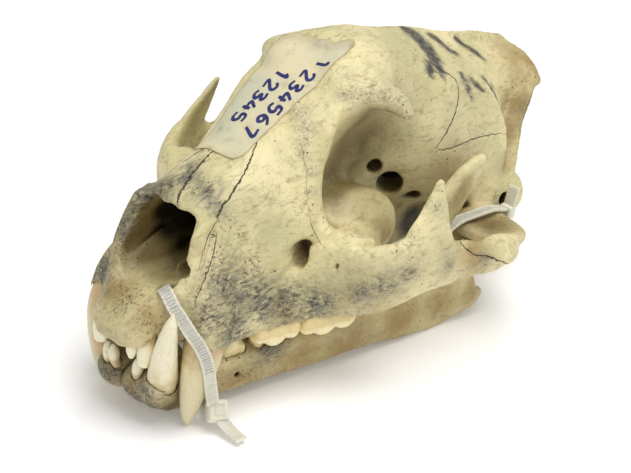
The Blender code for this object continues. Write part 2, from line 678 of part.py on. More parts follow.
def tree_of(made):
    mesh = made.data
    return BVHTree.FromPolygons([v.co for v in mesh.vertices], [p.vertices for p in mesh.polygons])


def tie(name, strap, sides, head, size, tail, trees, look, collection):
    """A cable tie: its loop and its cut-off tail meet in the locking head."""
    loop = add_object(name, *strap_points(strap, sides, trees), look, collection)
    centre, along, side = (np.array(row, float) for row in head)
    along /= np.linalg.norm(along)
    side -= along * (side @ along)
    side /= np.linalg.norm(side)
    bpy.ops.mesh.primitive_cube_add(size=1)
    block = bpy.context.object
    block.name = f"{name}_head"
    frame = Matrix(np.column_stack([side, along, np.cross(side, along)]).tolist()).to_4x4()
    block.matrix_world = Matrix.Translation(centre.tolist()) @ frame @ Matrix.Diagonal((*size, 1))
    flat = [tuple(side)] * len(tail)
    end = add_object(f"{name}_tail", *strap_points(tail, flat), look, collection)
    for other in (block, end):
        union = loop.modifiers.new("union", "BOOLEAN")
        union.operation = "UNION"
        union.object = other
    keep_evaluated(loop)
    loop.data.materials.clear()
    loop.data.materials.append(look)
    for other in (block, end):
        bpy.data.objects.remove(other)
    return loop


# The label's edges on the skull: (y, x of its left edge, x of its right edge).
LABEL_EDGES = [
    (49.5, 4.5, -12.5), (60, 5.2, -14.5), (72, 6.8, -17), (84, 8.2, -18), (94, 9.2, -18), (102, 9, -15),
]


def label(skull, look, collection):
    """A thin sheet that follows the forehead and the bridge of the nose."""
    tree = tree_of(skull)
    rows, columns = LABEL_ROWS, LABEL_COLUMNS
    stations = np.linspace(LABEL_EDGES[0][0], LABEL_EDGES[-1][0], rows)
    edges = np.array(LABEL_EDGES)
    lower, upper = [], []
    for i in range(rows):
        for j in range(columns):
            y = stations[i]
            left, right = (np.interp(y, edges[:, 0], edges[:, k]) for k in (1, 2))
            x = left + (right - left) * j / (columns - 1)
            place, normal, _, _ = tree.ray_cast(Vector((x, y, SKY)), Vector((0, 0, -1)))
            lower.append(place + normal * LABEL_GAP)
            upper.append(place + normal * (LABEL_GAP + LABEL_THICKNESS))
    count = rows * columns
    faces = []
    for i in range(rows - 1):
        for j in range(columns - 1):
            a = i * columns + j
            ring = (a, a + 1, a + columns + 1, a + columns)
            faces.append(ring[::-1])
            faces.append(tuple(count + k for k in ring))
    rim = [j for j in range(columns)]
    rim += [i * columns + columns - 1 for i in range(1, rows)]
    rim += [(rows - 1) * columns + j for j in range(columns - 2, -1, -1)]
    rim += [i * columns for i in range(rows - 2, 0, -1)]
    for a, b in zip(rim, rim[1:] + rim[:1]):
        faces.append((a, b, count + b, count + a))
    made = add_object("label", [*lower, *upper], faces, look, collection)
    work = bmesh.new()
    work.from_mesh(made.data)
    bmesh.ops.recalc_face_normals(work, faces=work.faces)
    work.to_mesh(made.data)
    work.free()
    return made


def cut_flat(mesh):
    """Cut away what is below the floor and close the cut, which leaves a flat face to rest on."""
    work = bmesh.new()
    work.from_mesh(mesh)
    cut = bmesh.ops.bisect_plane(
        work,
        geom=[*work.verts, *work.edges, *work.faces],
        plane_co=(0, 0, 0),
        plane_no=(0, 0, -1),
        clear_outer=True,
    )
    rim = [item for item in cut["geom_cut"] if isinstance(item, bmesh.types.BMEdge)]
    bmesh.ops.triangle_fill(work, edges=rim, use_beauty=True, normal=(0, 0, -1))
    work.to_mesh(mesh)
    work.free()


def stand(pieces):
    """Tip the skull to its resting pose, cut its lowest points flat, and centre it on the floor."""
    tip = Matrix.Rotation(math.radians(-REST_PITCH), 4, "X")
    for piece in pieces:
        piece.data.transform(tip)
    points = np.array([vert.co for piece in pieces for vert in piece.data.vertices])
    low, high = points.min(axis=0), points.max(axis=0)
    shift = Vector((-(low[0] + high[0]) / 2, -(low[1] + high[1]) / 2, -low[2] - REST_FLAT))
    for piece in pieces:
        piece.data.transform(Matrix.Translation(shift))
        if min(vert.co.z for vert in piece.data.vertices) < 0:
            cut_flat(piece.data)
        piece.data.transform(Matrix.Scale(MM, 4))


def main():
    for old in list(bpy.data.objects):
        bpy.data.objects.remove(old)
    collection = bpy.data.collections.new(NAME)
    bpy.context.scene.collection.children.link(collection)
    bone = material("bone", (0.66, 0.57, 0.38), 0.55)
    ivory = material("tooth_ivory", (0.80, 0.72, 0.52), 0.35)
    nylon = material("tie_nylon", (0.78, 0.78, 0.72), 0.4)
    paper = material("label_paper", (0.72, 0.60, 0.42), 0.8)
    teeth = [
        grown_object(name, grow_tooth(shapes, TOOTH_VOXEL), TOOTH_FACETS, ivory, collection)
        for name, shapes in tooth_shapes().items()
    ]
    lower_teeth = [tooth for tooth in teeth if tooth.name.startswith("lower")]
    skull = grown_object("cranium", grow_cranium(BONE_VOXEL), CRANIUM_FACETS, bone, collection)
    trees = [tree_of(piece) for piece in (skull, *teeth)]
    cut_sockets(skull, [tooth for tooth in teeth if tooth.name.startswith(("upper", "lower_canine"))])
    jaws = []
    for word, side in (("left", 1), ("right", -1)):
        jaw = grow_jaw(BONE_VOXEL, side)
        half = grown_object(f"mandible_{word}", jaw, JAW_FACETS, bone, collection, side)
        trees.append(tree_of(half))
        cut_sockets(half, [tooth for tooth in lower_teeth if tooth.name.endswith(word)])
        jaws.append(half)
    pieces = [skull, *jaws, *teeth]
    front = (FRONT_STRAP, FRONT_SIDES, FRONT_HEAD, FRONT_HEAD_SIZE, FRONT_TAIL)
    rear = (REAR_STRAP, REAR_SIDES, REAR_HEAD, REAR_HEAD_SIZE, REAR_TAIL)
    pieces.append(tie("front_tie", *front, trees, nylon, collection))
    pieces.append(tie("rear_tie", *rear, trees, nylon, collection))
    pieces.append(label(skull, paper, collection))
    stand(pieces)


if __name__ == "__main__":
    main()
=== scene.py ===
"""The looks of a leopard skull with its lower jaw tied shut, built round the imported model.

Bones and teeth are grown as blended volumes in the skull's own frame, in millimetres: x to the animal's
left, y back from the front of the upper jaw, z up from the rim of the upper tooth sockets. They are then
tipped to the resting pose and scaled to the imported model's frame.
"""

import logging
import math
from collections.abc import Callable
from dataclasses import dataclass, field
from enum import Enum
from functools import partial

import bmesh
import bpy
import numpy as np
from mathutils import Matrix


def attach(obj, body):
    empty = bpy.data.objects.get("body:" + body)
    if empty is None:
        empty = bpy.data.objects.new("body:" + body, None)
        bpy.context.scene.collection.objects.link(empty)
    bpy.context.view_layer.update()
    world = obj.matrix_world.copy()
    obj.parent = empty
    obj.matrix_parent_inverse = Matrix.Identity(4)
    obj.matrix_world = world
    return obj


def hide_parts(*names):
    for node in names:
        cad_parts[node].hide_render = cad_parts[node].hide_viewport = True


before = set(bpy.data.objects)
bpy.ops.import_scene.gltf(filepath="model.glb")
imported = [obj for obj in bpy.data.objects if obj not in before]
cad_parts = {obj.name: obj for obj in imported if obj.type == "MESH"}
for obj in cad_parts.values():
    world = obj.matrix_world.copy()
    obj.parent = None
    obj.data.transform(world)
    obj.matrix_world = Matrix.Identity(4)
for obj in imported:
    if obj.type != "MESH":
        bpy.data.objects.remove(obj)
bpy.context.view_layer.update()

import openvdb
from mathutils import Matrix, Vector, noise
from mathutils.bvhtree import BVHTree

logging.basicConfig(level=logging.INFO, format="%(name)s: %(message)s")
LOG = logging.getLogger("skull")

MM = 0.001
FAR = 50.0
SKY = 120.0
SENSOR = 36.0
WHITE = (1, 1, 1, 1)
BODY_NAME = "root"

Point = tuple[float, float, float]
Stops = list[tuple[float, ...]]
Socket = bpy.types.NodeSocket
NodeAdder = Callable[..., Socket]

# What is stored on a bone's vertices: soft patches given in lists, and what is read from its shape.
MARKS = ("dark", "grey", "ink", "rough", "tan", "sallow", "shade", "porous")
READINGS = ("hollow", "crevice", "seam", "seam_reach")


class Side(Enum):
    """The animal's own sides, as the sign of x."""

    LEFT = 1
    RIGHT = -1

    @property
    def word(self) -> str:
        """The side's name in a piece's name."""
        return self.name.lower()


class Slot(Enum):
    """The record's material slots."""

    BONE = "bone"
    TOOTH = "tooth"
    NYLON = "nylon"
    PAPER = "paper"


@dataclass(frozen=True)
class RestingPose:
    """Where the skull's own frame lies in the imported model's frame."""

    pitch: float = -3.8
    shift: Point = (0.0, -103.2729, 34.9529)

    def matrix(self) -> Matrix:
        """The matrix that turns, moves and scales skull millimetres to metres on the floor."""
        turn = Matrix.Rotation(math.radians(self.pitch), 4, "X")
        return Matrix.Scale(MM, 4) @ Matrix.Translation(self.shift) @ turn

    def place(self, piece: bpy.types.Object) -> None:
        """Put a piece that was modelled in the skull's frame where it rests."""
        piece.data.transform(self.matrix())

    def point(self, where: Point) -> Vector:
        """A point of the skull's frame, in metres on the floor."""
        return self.matrix() @ Vector(where)

    def direction(self, where: Point) -> Vector:
        """A direction of the skull's frame, turned to the resting pose."""
        return Matrix.Rotation(math.radians(self.pitch), 3, "X") @ Vector(where)


POSE = RestingPose()


def smooth_least(a: np.ndarray, b: np.ndarray, blend: float) -> np.ndarray:
    """The smaller of two distances, rounded off where they are close.

    Args:
        a: Distances to one surface.
        b: Distances to the other.
        blend: How wide the rounding is, in millimetres.

    Returns:
        The blended distances.
    """
    mix = np.clip(0.5 + 0.5 * (b - a) / blend, 0.0, 1.0)
    return b + (a - b) * mix - blend * mix * (1.0 - mix)


def spline(points: Stops, steps: int) -> np.ndarray:
    """Rows on a smooth curve through the given rows.

    Args:
        points: The rows that the curve passes through.
        steps: How many steps it takes from one row to the next.

    Returns:
        One row per station, with as many columns as the rows given.
    """
    rows = np.asarray(points, float)
    padded = np.vstack([2 * rows[0] - rows[1], rows, 2 * rows[-1] - rows[-2]])
    t = (np.arange(steps) / steps)[:, None]
    found = []
    for before, start, end, after in zip(padded, padded[1:], padded[2:], padded[3:]):
        bend = 2 * before - 5 * start + 4 * end - after
        turn = 3 * start - before - 3 * end + after
        found.append(0.5 * (2 * start + (end - before) * t + bend * t**2 + turn * t**3))
    return np.vstack([*found, rows[-1:]])


def mirrored(stops: Stops, side: Side) -> Stops:
    """The same stops on the animal's left or, with x turned over, on its right."""
    return [(stop[0] * side.value, *stop[1:]) for stop in stops]


def on_both_sides(stops: Stops) -> Stops:
    """Stops of the animal's left, and the same on its right."""
    return stops + mirrored(stops, Side.RIGHT)


def ellipse_distance(parts: list[tuple[np.ndarray, np.ndarray]]) -> np.ndarray:
    """About how far points lie outside an ellipsoid.

    Args:
        parts: For each axis of the ellipsoid, the offsets along it and its radius there.

    Returns:
        The distances, negative inside.
    """
    near = np.sqrt(sum((part / radius) ** 2 for part, radius in parts))
    steep = np.sqrt(sum((part / radius**2) ** 2 for part, radius in parts))
    return near * (near - 1.0) / np.maximum(steep, 1e-6)


class Mass:
    """An ellipsoid, turned by degrees about x, then y, then z."""

    def __init__(self, centre: Point, radii: Point, turn: Point = (0, 0, 0)) -> None:
        """Set its middle, its half lengths and its turns."""
        self.centre = np.array(centre, float)
        self.radii = np.array(radii, float)
        angles = [math.radians(angle) for angle in turn]
        spins = [Matrix.Rotation(angle, 3, axis) for angle, axis in zip(angles, "XYZ")]
        self.axes = np.array(spins[2] @ spins[1] @ spins[0])
        reach = np.abs(self.axes) @ self.radii
        self.low, self.high = self.centre - reach, self.centre + reach

    def parts(self) -> list["Mass"]:
        """The separate parts whose distances are worked out one by one."""
        return [self]

    def distance(self, points: np.ndarray) -> np.ndarray:
        """About how far each point lies outside."""
        local = (points - self.centre) @ self.axes
        return ellipse_distance([(local[..., i], self.radii[i]) for i in range(3)])


@dataclass
class Span:
    """The stretch of a bar between two of its stations."""

    start: np.ndarray
    run: np.ndarray
    radii: np.ndarray
    change: np.ndarray
    side: np.ndarray

    def __post_init__(self) -> None:
        """Work out the box that holds the stretch."""
        reach = np.maximum(self.radii, self.radii + self.change).max()
        ends = np.array([self.start, self.start + self.run])
        self.low, self.high = ends.min(axis=0) - reach, ends.max(axis=0) + reach

    def distance(self, points: np.ndarray) -> np.ndarray:
        """About how far each point lies outside this stretch."""
        length = np.linalg.norm(self.run)
        along = self.run / length
        offset = points - self.start
        share = np.clip(offset @ along / length, 0.0, 1.0)
        side = self.side - along * (self.side @ along)
        side /= np.linalg.norm(side)
        third = np.cross(along, side)
        offset = offset - share[..., None] * self.run
        radii = self.radii + share[..., None] * self.change
        return ellipse_distance(
            [
                (offset @ side, radii[..., 0]),
                (offset @ third, radii[..., 1]),
                (offset @ along, radii.min(axis=-1)),
            ]
        )


class Bar:
    """A curved bar of elliptical section, which may taper.

    Each stop is (x, y, z, half width, half depth). The width lies along the side direction, which may
    turn from one end to the other, and the depth at right angles to it and to the bar.
    """

    def __init__(
        self, stops: Stops, side: Point = (1, 0, 0), end_side: Point | None = None, steps: int = 4
    ) -> None:
        """Set the stops and how the section is turned."""
        rows = spline(stops, steps)
        self.points = rows[:, :3]
        self.radii = np.maximum(rows[:, 3:5], 0.15)
        share = np.linspace(0, 1, len(rows))[:, None]
        last = side if end_side is None else end_side
        self.sides = np.array(side, float) * (1 - share) + np.array(last, float) * share
        reach = self.radii.max(axis=1)[:, None]
        self.low = (self.points - reach).min(axis=0)
        self.high = (self.points + reach).max(axis=0)

    def parts(self) -> list[Span]:
        """The stretches between the bar's stations."""
        runs = np.diff(self.points, axis=0)
        changes = np.diff(self.radii, axis=0)
        return [Span(*row) for row in zip(self.points, runs, self.radii, changes, self.sides)]


class Loft:
    """A body of half sections set along y, each an outline from its top to its bottom on the midline.

    A section is (y, height of its middle, outline points (x, z)). The outline is read as a radius round
    the middle, smooth between its points and between sections.
    """

    ANGLES = 65

    def __init__(self, sections: list, steps: int = 6) -> None:
        """Set the sections, and how many steps lie between two of them."""
        angles = np.linspace(0, math.pi, self.ANGLES)
        rows = []
        for y, middle, outline in sections:
            ring = [(-x, z) for x, z in outline[1:2]] + list(outline)
            ring += [(-x, z) for x, z in outline[-2:-1]]
            curve = spline(ring, 6) - (0, middle)
            turn = np.arctan2(curve[:, 0], curve[:, 1])
            radius = np.hypot(curve[:, 0], curve[:, 1])
            turn[-6:] = np.where(turn[-6:] < 0, turn[-6:] + 2 * math.pi, turn[-6:])
            order = np.argsort(turn)
            rows.append([y, middle, *np.interp(angles, turn[order], radius[order])])
        rows = spline(rows, steps)
        self.y, self.middle, self.radius = rows[:, 0], rows[:, 1], rows[:, 2:]
        widest = self.radius.max()
        self.low = np.array([-widest, self.y[0], (self.middle - widest).min()])
        self.high = np.array([widest, self.y[-1], (self.middle + widest).max()])

    def parts(self) -> list["Loft"]:
        """The separate parts whose distances are worked out one by one."""
        return [self]

    def distance(self, points: np.ndarray) -> np.ndarray:
        """About how far each point lies outside."""
        place = np.interp(points[..., 1], self.y, np.arange(len(self.y)))
        row = np.clip(place.astype(int), 0, len(self.y) - 2)
        share = place - row
        middle = np.interp(points[..., 1], self.y, self.middle)
        across, up = np.abs(points[..., 0]), points[..., 2] - middle
        turn = np.arctan2(across, up) / math.pi * (self.ANGLES - 1)
        column = np.clip(turn.astype(int), 0, self.ANGLES - 2)
        part = turn - column
        near = self.radius[row, column] * (1 - part) + self.radius[row, column + 1] * part
        far = self.radius[row + 1, column] * (1 - part) + self.radius[row + 1, column + 1] * part
        outside = np.hypot(across, up) - (near * (1 - share) + far * share)
        ends = np.maximum(self.y[0] - points[..., 1], points[..., 1] - self.y[-1])
        return np.maximum(outside * 0.85, ends)


Shape = Mass | Bar | Loft


class Volume:
    """Blended shapes on a regular grid, whose zero surface becomes a mesh."""

    def __init__(self, low: Point, high: Point, voxel: float) -> None:
        """Set the box that the grid fills, and its pitch."""
        self.voxel = voxel
        self.low = np.array(low, float)
        counts = np.ceil((np.array(high) - self.low) / voxel).astype(int) + 1
        self.axes = [self.low[i] + voxel * np.arange(counts[i]) for i in range(3)]
        self.values = np.full(counts, FAR, np.float32)

    def window(self, low: np.ndarray, high: np.ndarray) -> tuple[slice, ...]:
        """The grid's index ranges between two corners."""
        ranges = []
        for axis, first, last in zip(self.axes, low, high):
            start = int(np.searchsorted(axis, first))
            ranges.append(slice(start, max(int(np.searchsorted(axis, last)), start)))
        return tuple(ranges)

    def measure(self, shape: Shape, margin: float) -> tuple[tuple[slice, ...], np.ndarray]:
        """The distances to a shape, near it.

        Args:
            shape: What is measured.
            margin: How far round it the distances are needed.

        Returns:
            The index ranges, and the distances in them.
        """
        ranges = self.window(shape.low - margin, shape.high + margin)
        found = np.full([r.stop - r.start for r in ranges], FAR, np.float32)
        for part in shape.parts():
            inner = self.window(part.low - margin, part.high + margin)
            inner = [slice(max(i.start, r.start), min(i.stop, r.stop)) for i, r in zip(inner, ranges)]
            if any(i.stop <= i.start for i in inner):
                continue
            grid = np.meshgrid(*[a[i] for a, i in zip(self.axes, inner)], indexing="ij")
            local = tuple(slice(i.start - r.start, i.stop - r.start) for i, r in zip(inner, ranges))
            distances = part.distance(np.stack(grid, axis=-1))
            found[local] = np.minimum(found[local], distances)
        return ranges, found

    def add(self, shape: Shape, blend: float = 3.0) -> None:
        """Blend a shape into what is there."""
        ranges, distances = self.measure(shape, blend + 2 * self.voxel)
        if distances.size:
            self.values[ranges] = smooth_least(self.values[ranges], distances, blend)

    def cut(self, shape: Shape, blend: float = 1.5, clear: float = 0.0) -> None:
        """Blend a shape out of what is there, with this much room round it."""
        ranges, distances = self.measure(shape, blend + clear + 2 * self.voxel)
        if distances.size:
            self.values[ranges] = -smooth_least(-self.values[ranges], distances - clear, blend)

    def unfold(self) -> None:
        """Mirror a half grid, which starts at x = 0, to both sides."""
        self.values = np.concatenate([self.values[:0:-1], self.values])
        self.axes[0] = np.concatenate([-self.axes[0][:0:-1], self.axes[0]])
        self.low[0] = self.axes[0][0]

    def mesh(self, name: str, triangle_limit: int) -> bpy.types.Object:
        """A smooth-shaded object of the zero surface, its largest part alone.

        Args:
            name: The piece's name.
            triangle_limit: The most triangles that it may have.

        Returns:
            The new object, in the skull's frame.
        """
        grid = openvdb.FloatGrid(FAR)
        grid.copyFromArray(np.ascontiguousarray(self.values, np.float32))
        points, triangles, quads = grid.convertToPolygons(0.0, 0.0)
        data = bpy.data.meshes.new(name)
        places = (points * self.voxel + self.low).tolist()
        data.from_pydata(places, [], [*triangles.tolist(), *quads.tolist()])
        keep_largest(data)
        piece = put_in_scene(name, data)
        count = sum(len(face.vertices) - 2 for face in data.polygons)
        if count > triangle_limit:
            thinning = piece.modifiers.new("thinning", "DECIMATE")
            thinning.ratio = triangle_limit / count
            keep_evaluated(piece)
        piece.data.shade_smooth()
        return piece

    def hollowness(self, places: np.ndarray, reach: float) -> np.ndarray:
        """How shut in each place is.

        Args:
            places: Points near the surface, in the skull's frame.
            reach: How far round each one bone is looked for, in millimetres.

        Returns:
            The share of the room round each place that is bone: about a half on a flat surface.
        """
        step = max(1, int(round(reach / self.voxel / 3)))
        solid = (self.values[::step, ::step, ::step] < 0).astype(np.float32)
        width = max(1, int(round(reach / self.voxel / step)))
        for _ in range(2):
            for axis in range(3):
                spread = [(width + 1, width) if i == axis else (0, 0) for i in range(3)]
                total = np.cumsum(np.pad(solid, spread, mode="edge"), axis=axis)
                count = total.shape[axis]
                upper = np.take(total, np.arange(2 * width + 1, count), axis=axis)
                lower = np.take(total, np.arange(0, count - 2 * width - 1), axis=axis)
                solid = (upper - lower) / (2 * width + 1)
        index = (places - self.low) / (self.voxel * step)
        base = np.clip(np.floor(index).astype(int), 0, np.array(solid.shape) - 2)
        part = np.clip(index - base, 0, 1)
        found = np.zeros(len(places))
        for corner in np.ndindex(2, 2, 2):
            weight = np.prod([part[:, i] if corner[i] else 1 - part[:, i] for i in range(3)], axis=0)
            found += weight * solid[tuple(base[:, i] + corner[i] for i in range(3))]
        return found


def put_in_scene(name: str, data: bpy.types.ID) -> bpy.types.Object:
    """A new object of this mesh, lamp or camera, in the scene."""
    made = bpy.data.objects.new(name, data)
    bpy.context.scene.collection.objects.link(made)
    return made


def worked_piece(work: bmesh.types.BMesh, name: str, finish: bpy.types.Material) -> bpy.types.Object:
    """An object of what the mesh operators have made, with its material."""
    data = bpy.data.meshes.new(name)
    work.to_mesh(data)
    work.free()
    data.materials.append(finish)
    return put_in_scene(name, data)


def keep_largest(data: bpy.types.Mesh) -> None:
    """Remove every loose part of a mesh but the largest."""
    work = bmesh.new()
    work.from_mesh(data)
    left = set(work.verts)
    parts = []
    while left:
        front = [left.pop()]
        part = []
        while front:
            vert = front.pop()
            part.append(vert)
            for edge in vert.link_edges:
                other = edge.other_vert(vert)
                if other in left:
                    left.discard(other)
                    front.append(other)
        parts.append(part)
    parts.sort(key=len)
    crumbs = [vert for part in parts[:-1] for vert in part]
    bmesh.ops.delete(work, geom=crumbs, context="VERTS")
    work.to_mesh(data)
    work.free()


def keep_evaluated(piece: bpy.types.Object) -> None:
    """Replace an object's mesh by the result of its modifiers."""
    graph = bpy.context.evaluated_depsgraph_get()
    made = bpy.data.meshes.new_from_object(piece.evaluated_get(graph))
    piece.modifiers.clear()
    piece.data = made


def vertex_places(piece: bpy.types.Object) -> np.ndarray:
    """Where a piece's vertices are, one row each."""
    places = np.zeros(len(piece.data.vertices) * 3)
    piece.data.vertices.foreach_get("co", places)
    return places.reshape(-1, 3)


def vertex_normals(piece: bpy.types.Object) -> np.ndarray:
    """The directions of a piece's vertices, one row each."""
    normals = np.zeros(len(piece.data.vertices) * 3, np.float32)
    piece.data.vertex_normals.foreach_get("vector", normals)
    return normals.reshape(-1, 3)


def move_vertices(piece: bpy.types.Object, places: np.ndarray) -> None:
    """Put a piece's vertices at new places."""
    piece.data.vertices.foreach_set("co", places.ravel())
    piece.data.update()


def store(piece: bpy.types.Object, name: str, values: np.ndarray) -> None:
    """Keep one number per vertex on a piece, for its material."""
    attribute = piece.data.attributes.new(name, "FLOAT", "POINT")
    attribute.data.foreach_set("value", np.asarray(values, np.float32))


def roughen(piece: bpy.types.Object, amount: float, size: float, seed: float) -> None:
    """Give a grown surface its unevenness.

    Args:
        piece: The piece, in the skull's frame.
        amount: The most that a place moves, in millimetres.
        size: The size of the lumps, in millimetres.
        seed: Where in the noise it is read.
    """
    places = vertex_places(piece)
    normals = vertex_normals(piece)
    offset = Vector((seed, seed * 0.7, seed * 1.3))
    lumps = [noise.fractal(Vector(p) / size + offset, 0.9, 2.1, 3) for p in places]
    move_vertices(piece, places + normals * (np.array(lumps) * amount)[:, None])


def finish_piece(piece: bpy.types.Object, slot: Slot, *nodes: str) -> None:
    """Place a piece, let it ride on the skull's body, and let it stand for its nodes."""
    POSE.place(piece)
    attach(piece, BODY_NAME)
    if nodes:
        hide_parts(*nodes)
    faces = sum(len(face.vertices) - 2 for face in piece.data.polygons)
    LOG.info("%s has %d triangles", piece.name, faces)


def linear(code: str) -> tuple[float, float, float, float]:
    """An sRGB hex colour as linear red, green, blue and alpha."""
    channels = [int(code[i : i + 2], 16) / 255 for i in (1, 3, 5)]
    lit = [c / 12.92 if c <= 0.04045 else ((c + 0.055) / 1.055) ** 2.4 for c in channels]
    return (*lit, 1.0)


def feed(node: bpy.types.Node, inputs: dict) -> None:
    """Give each of a node's inputs, by name or number, a value or the socket that feeds it."""
    for name, value in inputs.items():
        if isinstance(value, Socket):
            node.id_data.links.new(value, node.inputs[name])
        else:
            node.inputs[name].default_value = value


def add_node(
    tree: bpy.types.NodeTree, kind: str, inputs: dict | tuple = (), output: int | str = 0, **settings: str
) -> Socket:
    """Add a node with its settings and links.

    Args:
        tree: The material's node tree.
        kind: The node's type, without the prefix that all shader nodes have.
        inputs: A value, or the socket that feeds it, for each input: by name or number, or in order.
        output: Which of its outputs is used.
        settings: The node's own properties.

    Returns:
        That output.
    """
    made = tree.nodes.new(f"ShaderNode{kind}")
    for name, value in settings.items():
        setattr(made, name, value)
    feed(made, inputs if isinstance(inputs, dict) else dict(enumerate(inputs)))
    return made.outputs[output]


def new_material(name: str) -> tuple[bpy.types.Material, NodeAdder, bpy.types.Node]:
    """A new material, what adds nodes to it, and its shader."""
    made = bpy.data.materials.new(name)
    made.use_nodes = True
    return made, partial(add_node, made.node_tree), made.node_tree.nodes["Principled BSDF"]


def away_from(node: NodeAdder, value: Socket, middle: float) -> Socket:
    """How far a value is from this one."""
    less = node("Math", (value, middle), operation="SUBTRACT")
    return node("Math", (less,), operation="ABSOLUTE")


def grain(place: Socket, size: float, detail: float = 5.0, **more: float) -> dict[str, Socket | float]:
    """A noise's inputs, from the millimetres across that its features are."""
    return {"Vector": place, "Scale": 1.0 / (size * MM), "Detail": detail, **more}


# Settings of nodes: how a range is mapped, what is worked out, and that a mix is of colours.
SMOOTH = {"interpolation_type": "SMOOTHSTEP"}
TIMES = {"operation": "MULTIPLY"}
TIMES_PLUS = {"operation": "MULTIPLY_ADD"}
OF_COLOURS = {"data_type": "RGBA", "output": 2}


@dataclass(frozen=True)
class Tint:
    """A colour that lies over the bone in patches of a noise.

    Size is the patches' size in millimetres, and stretch how many times as long they are from front to
    back. The colour rises from none to its strength as the noise goes from low to high. Where a mask is
    named, the vertices that hold it say where the colour lies, and floor is its share between patches.
    """

    colour: str
    size: float
    low: float
    high: float
    strength: float
    mask: str = ""
    floor: float = 0.0
    detail: float = 5.0
    twist: float = 0.6
    stretch: float = 1.0


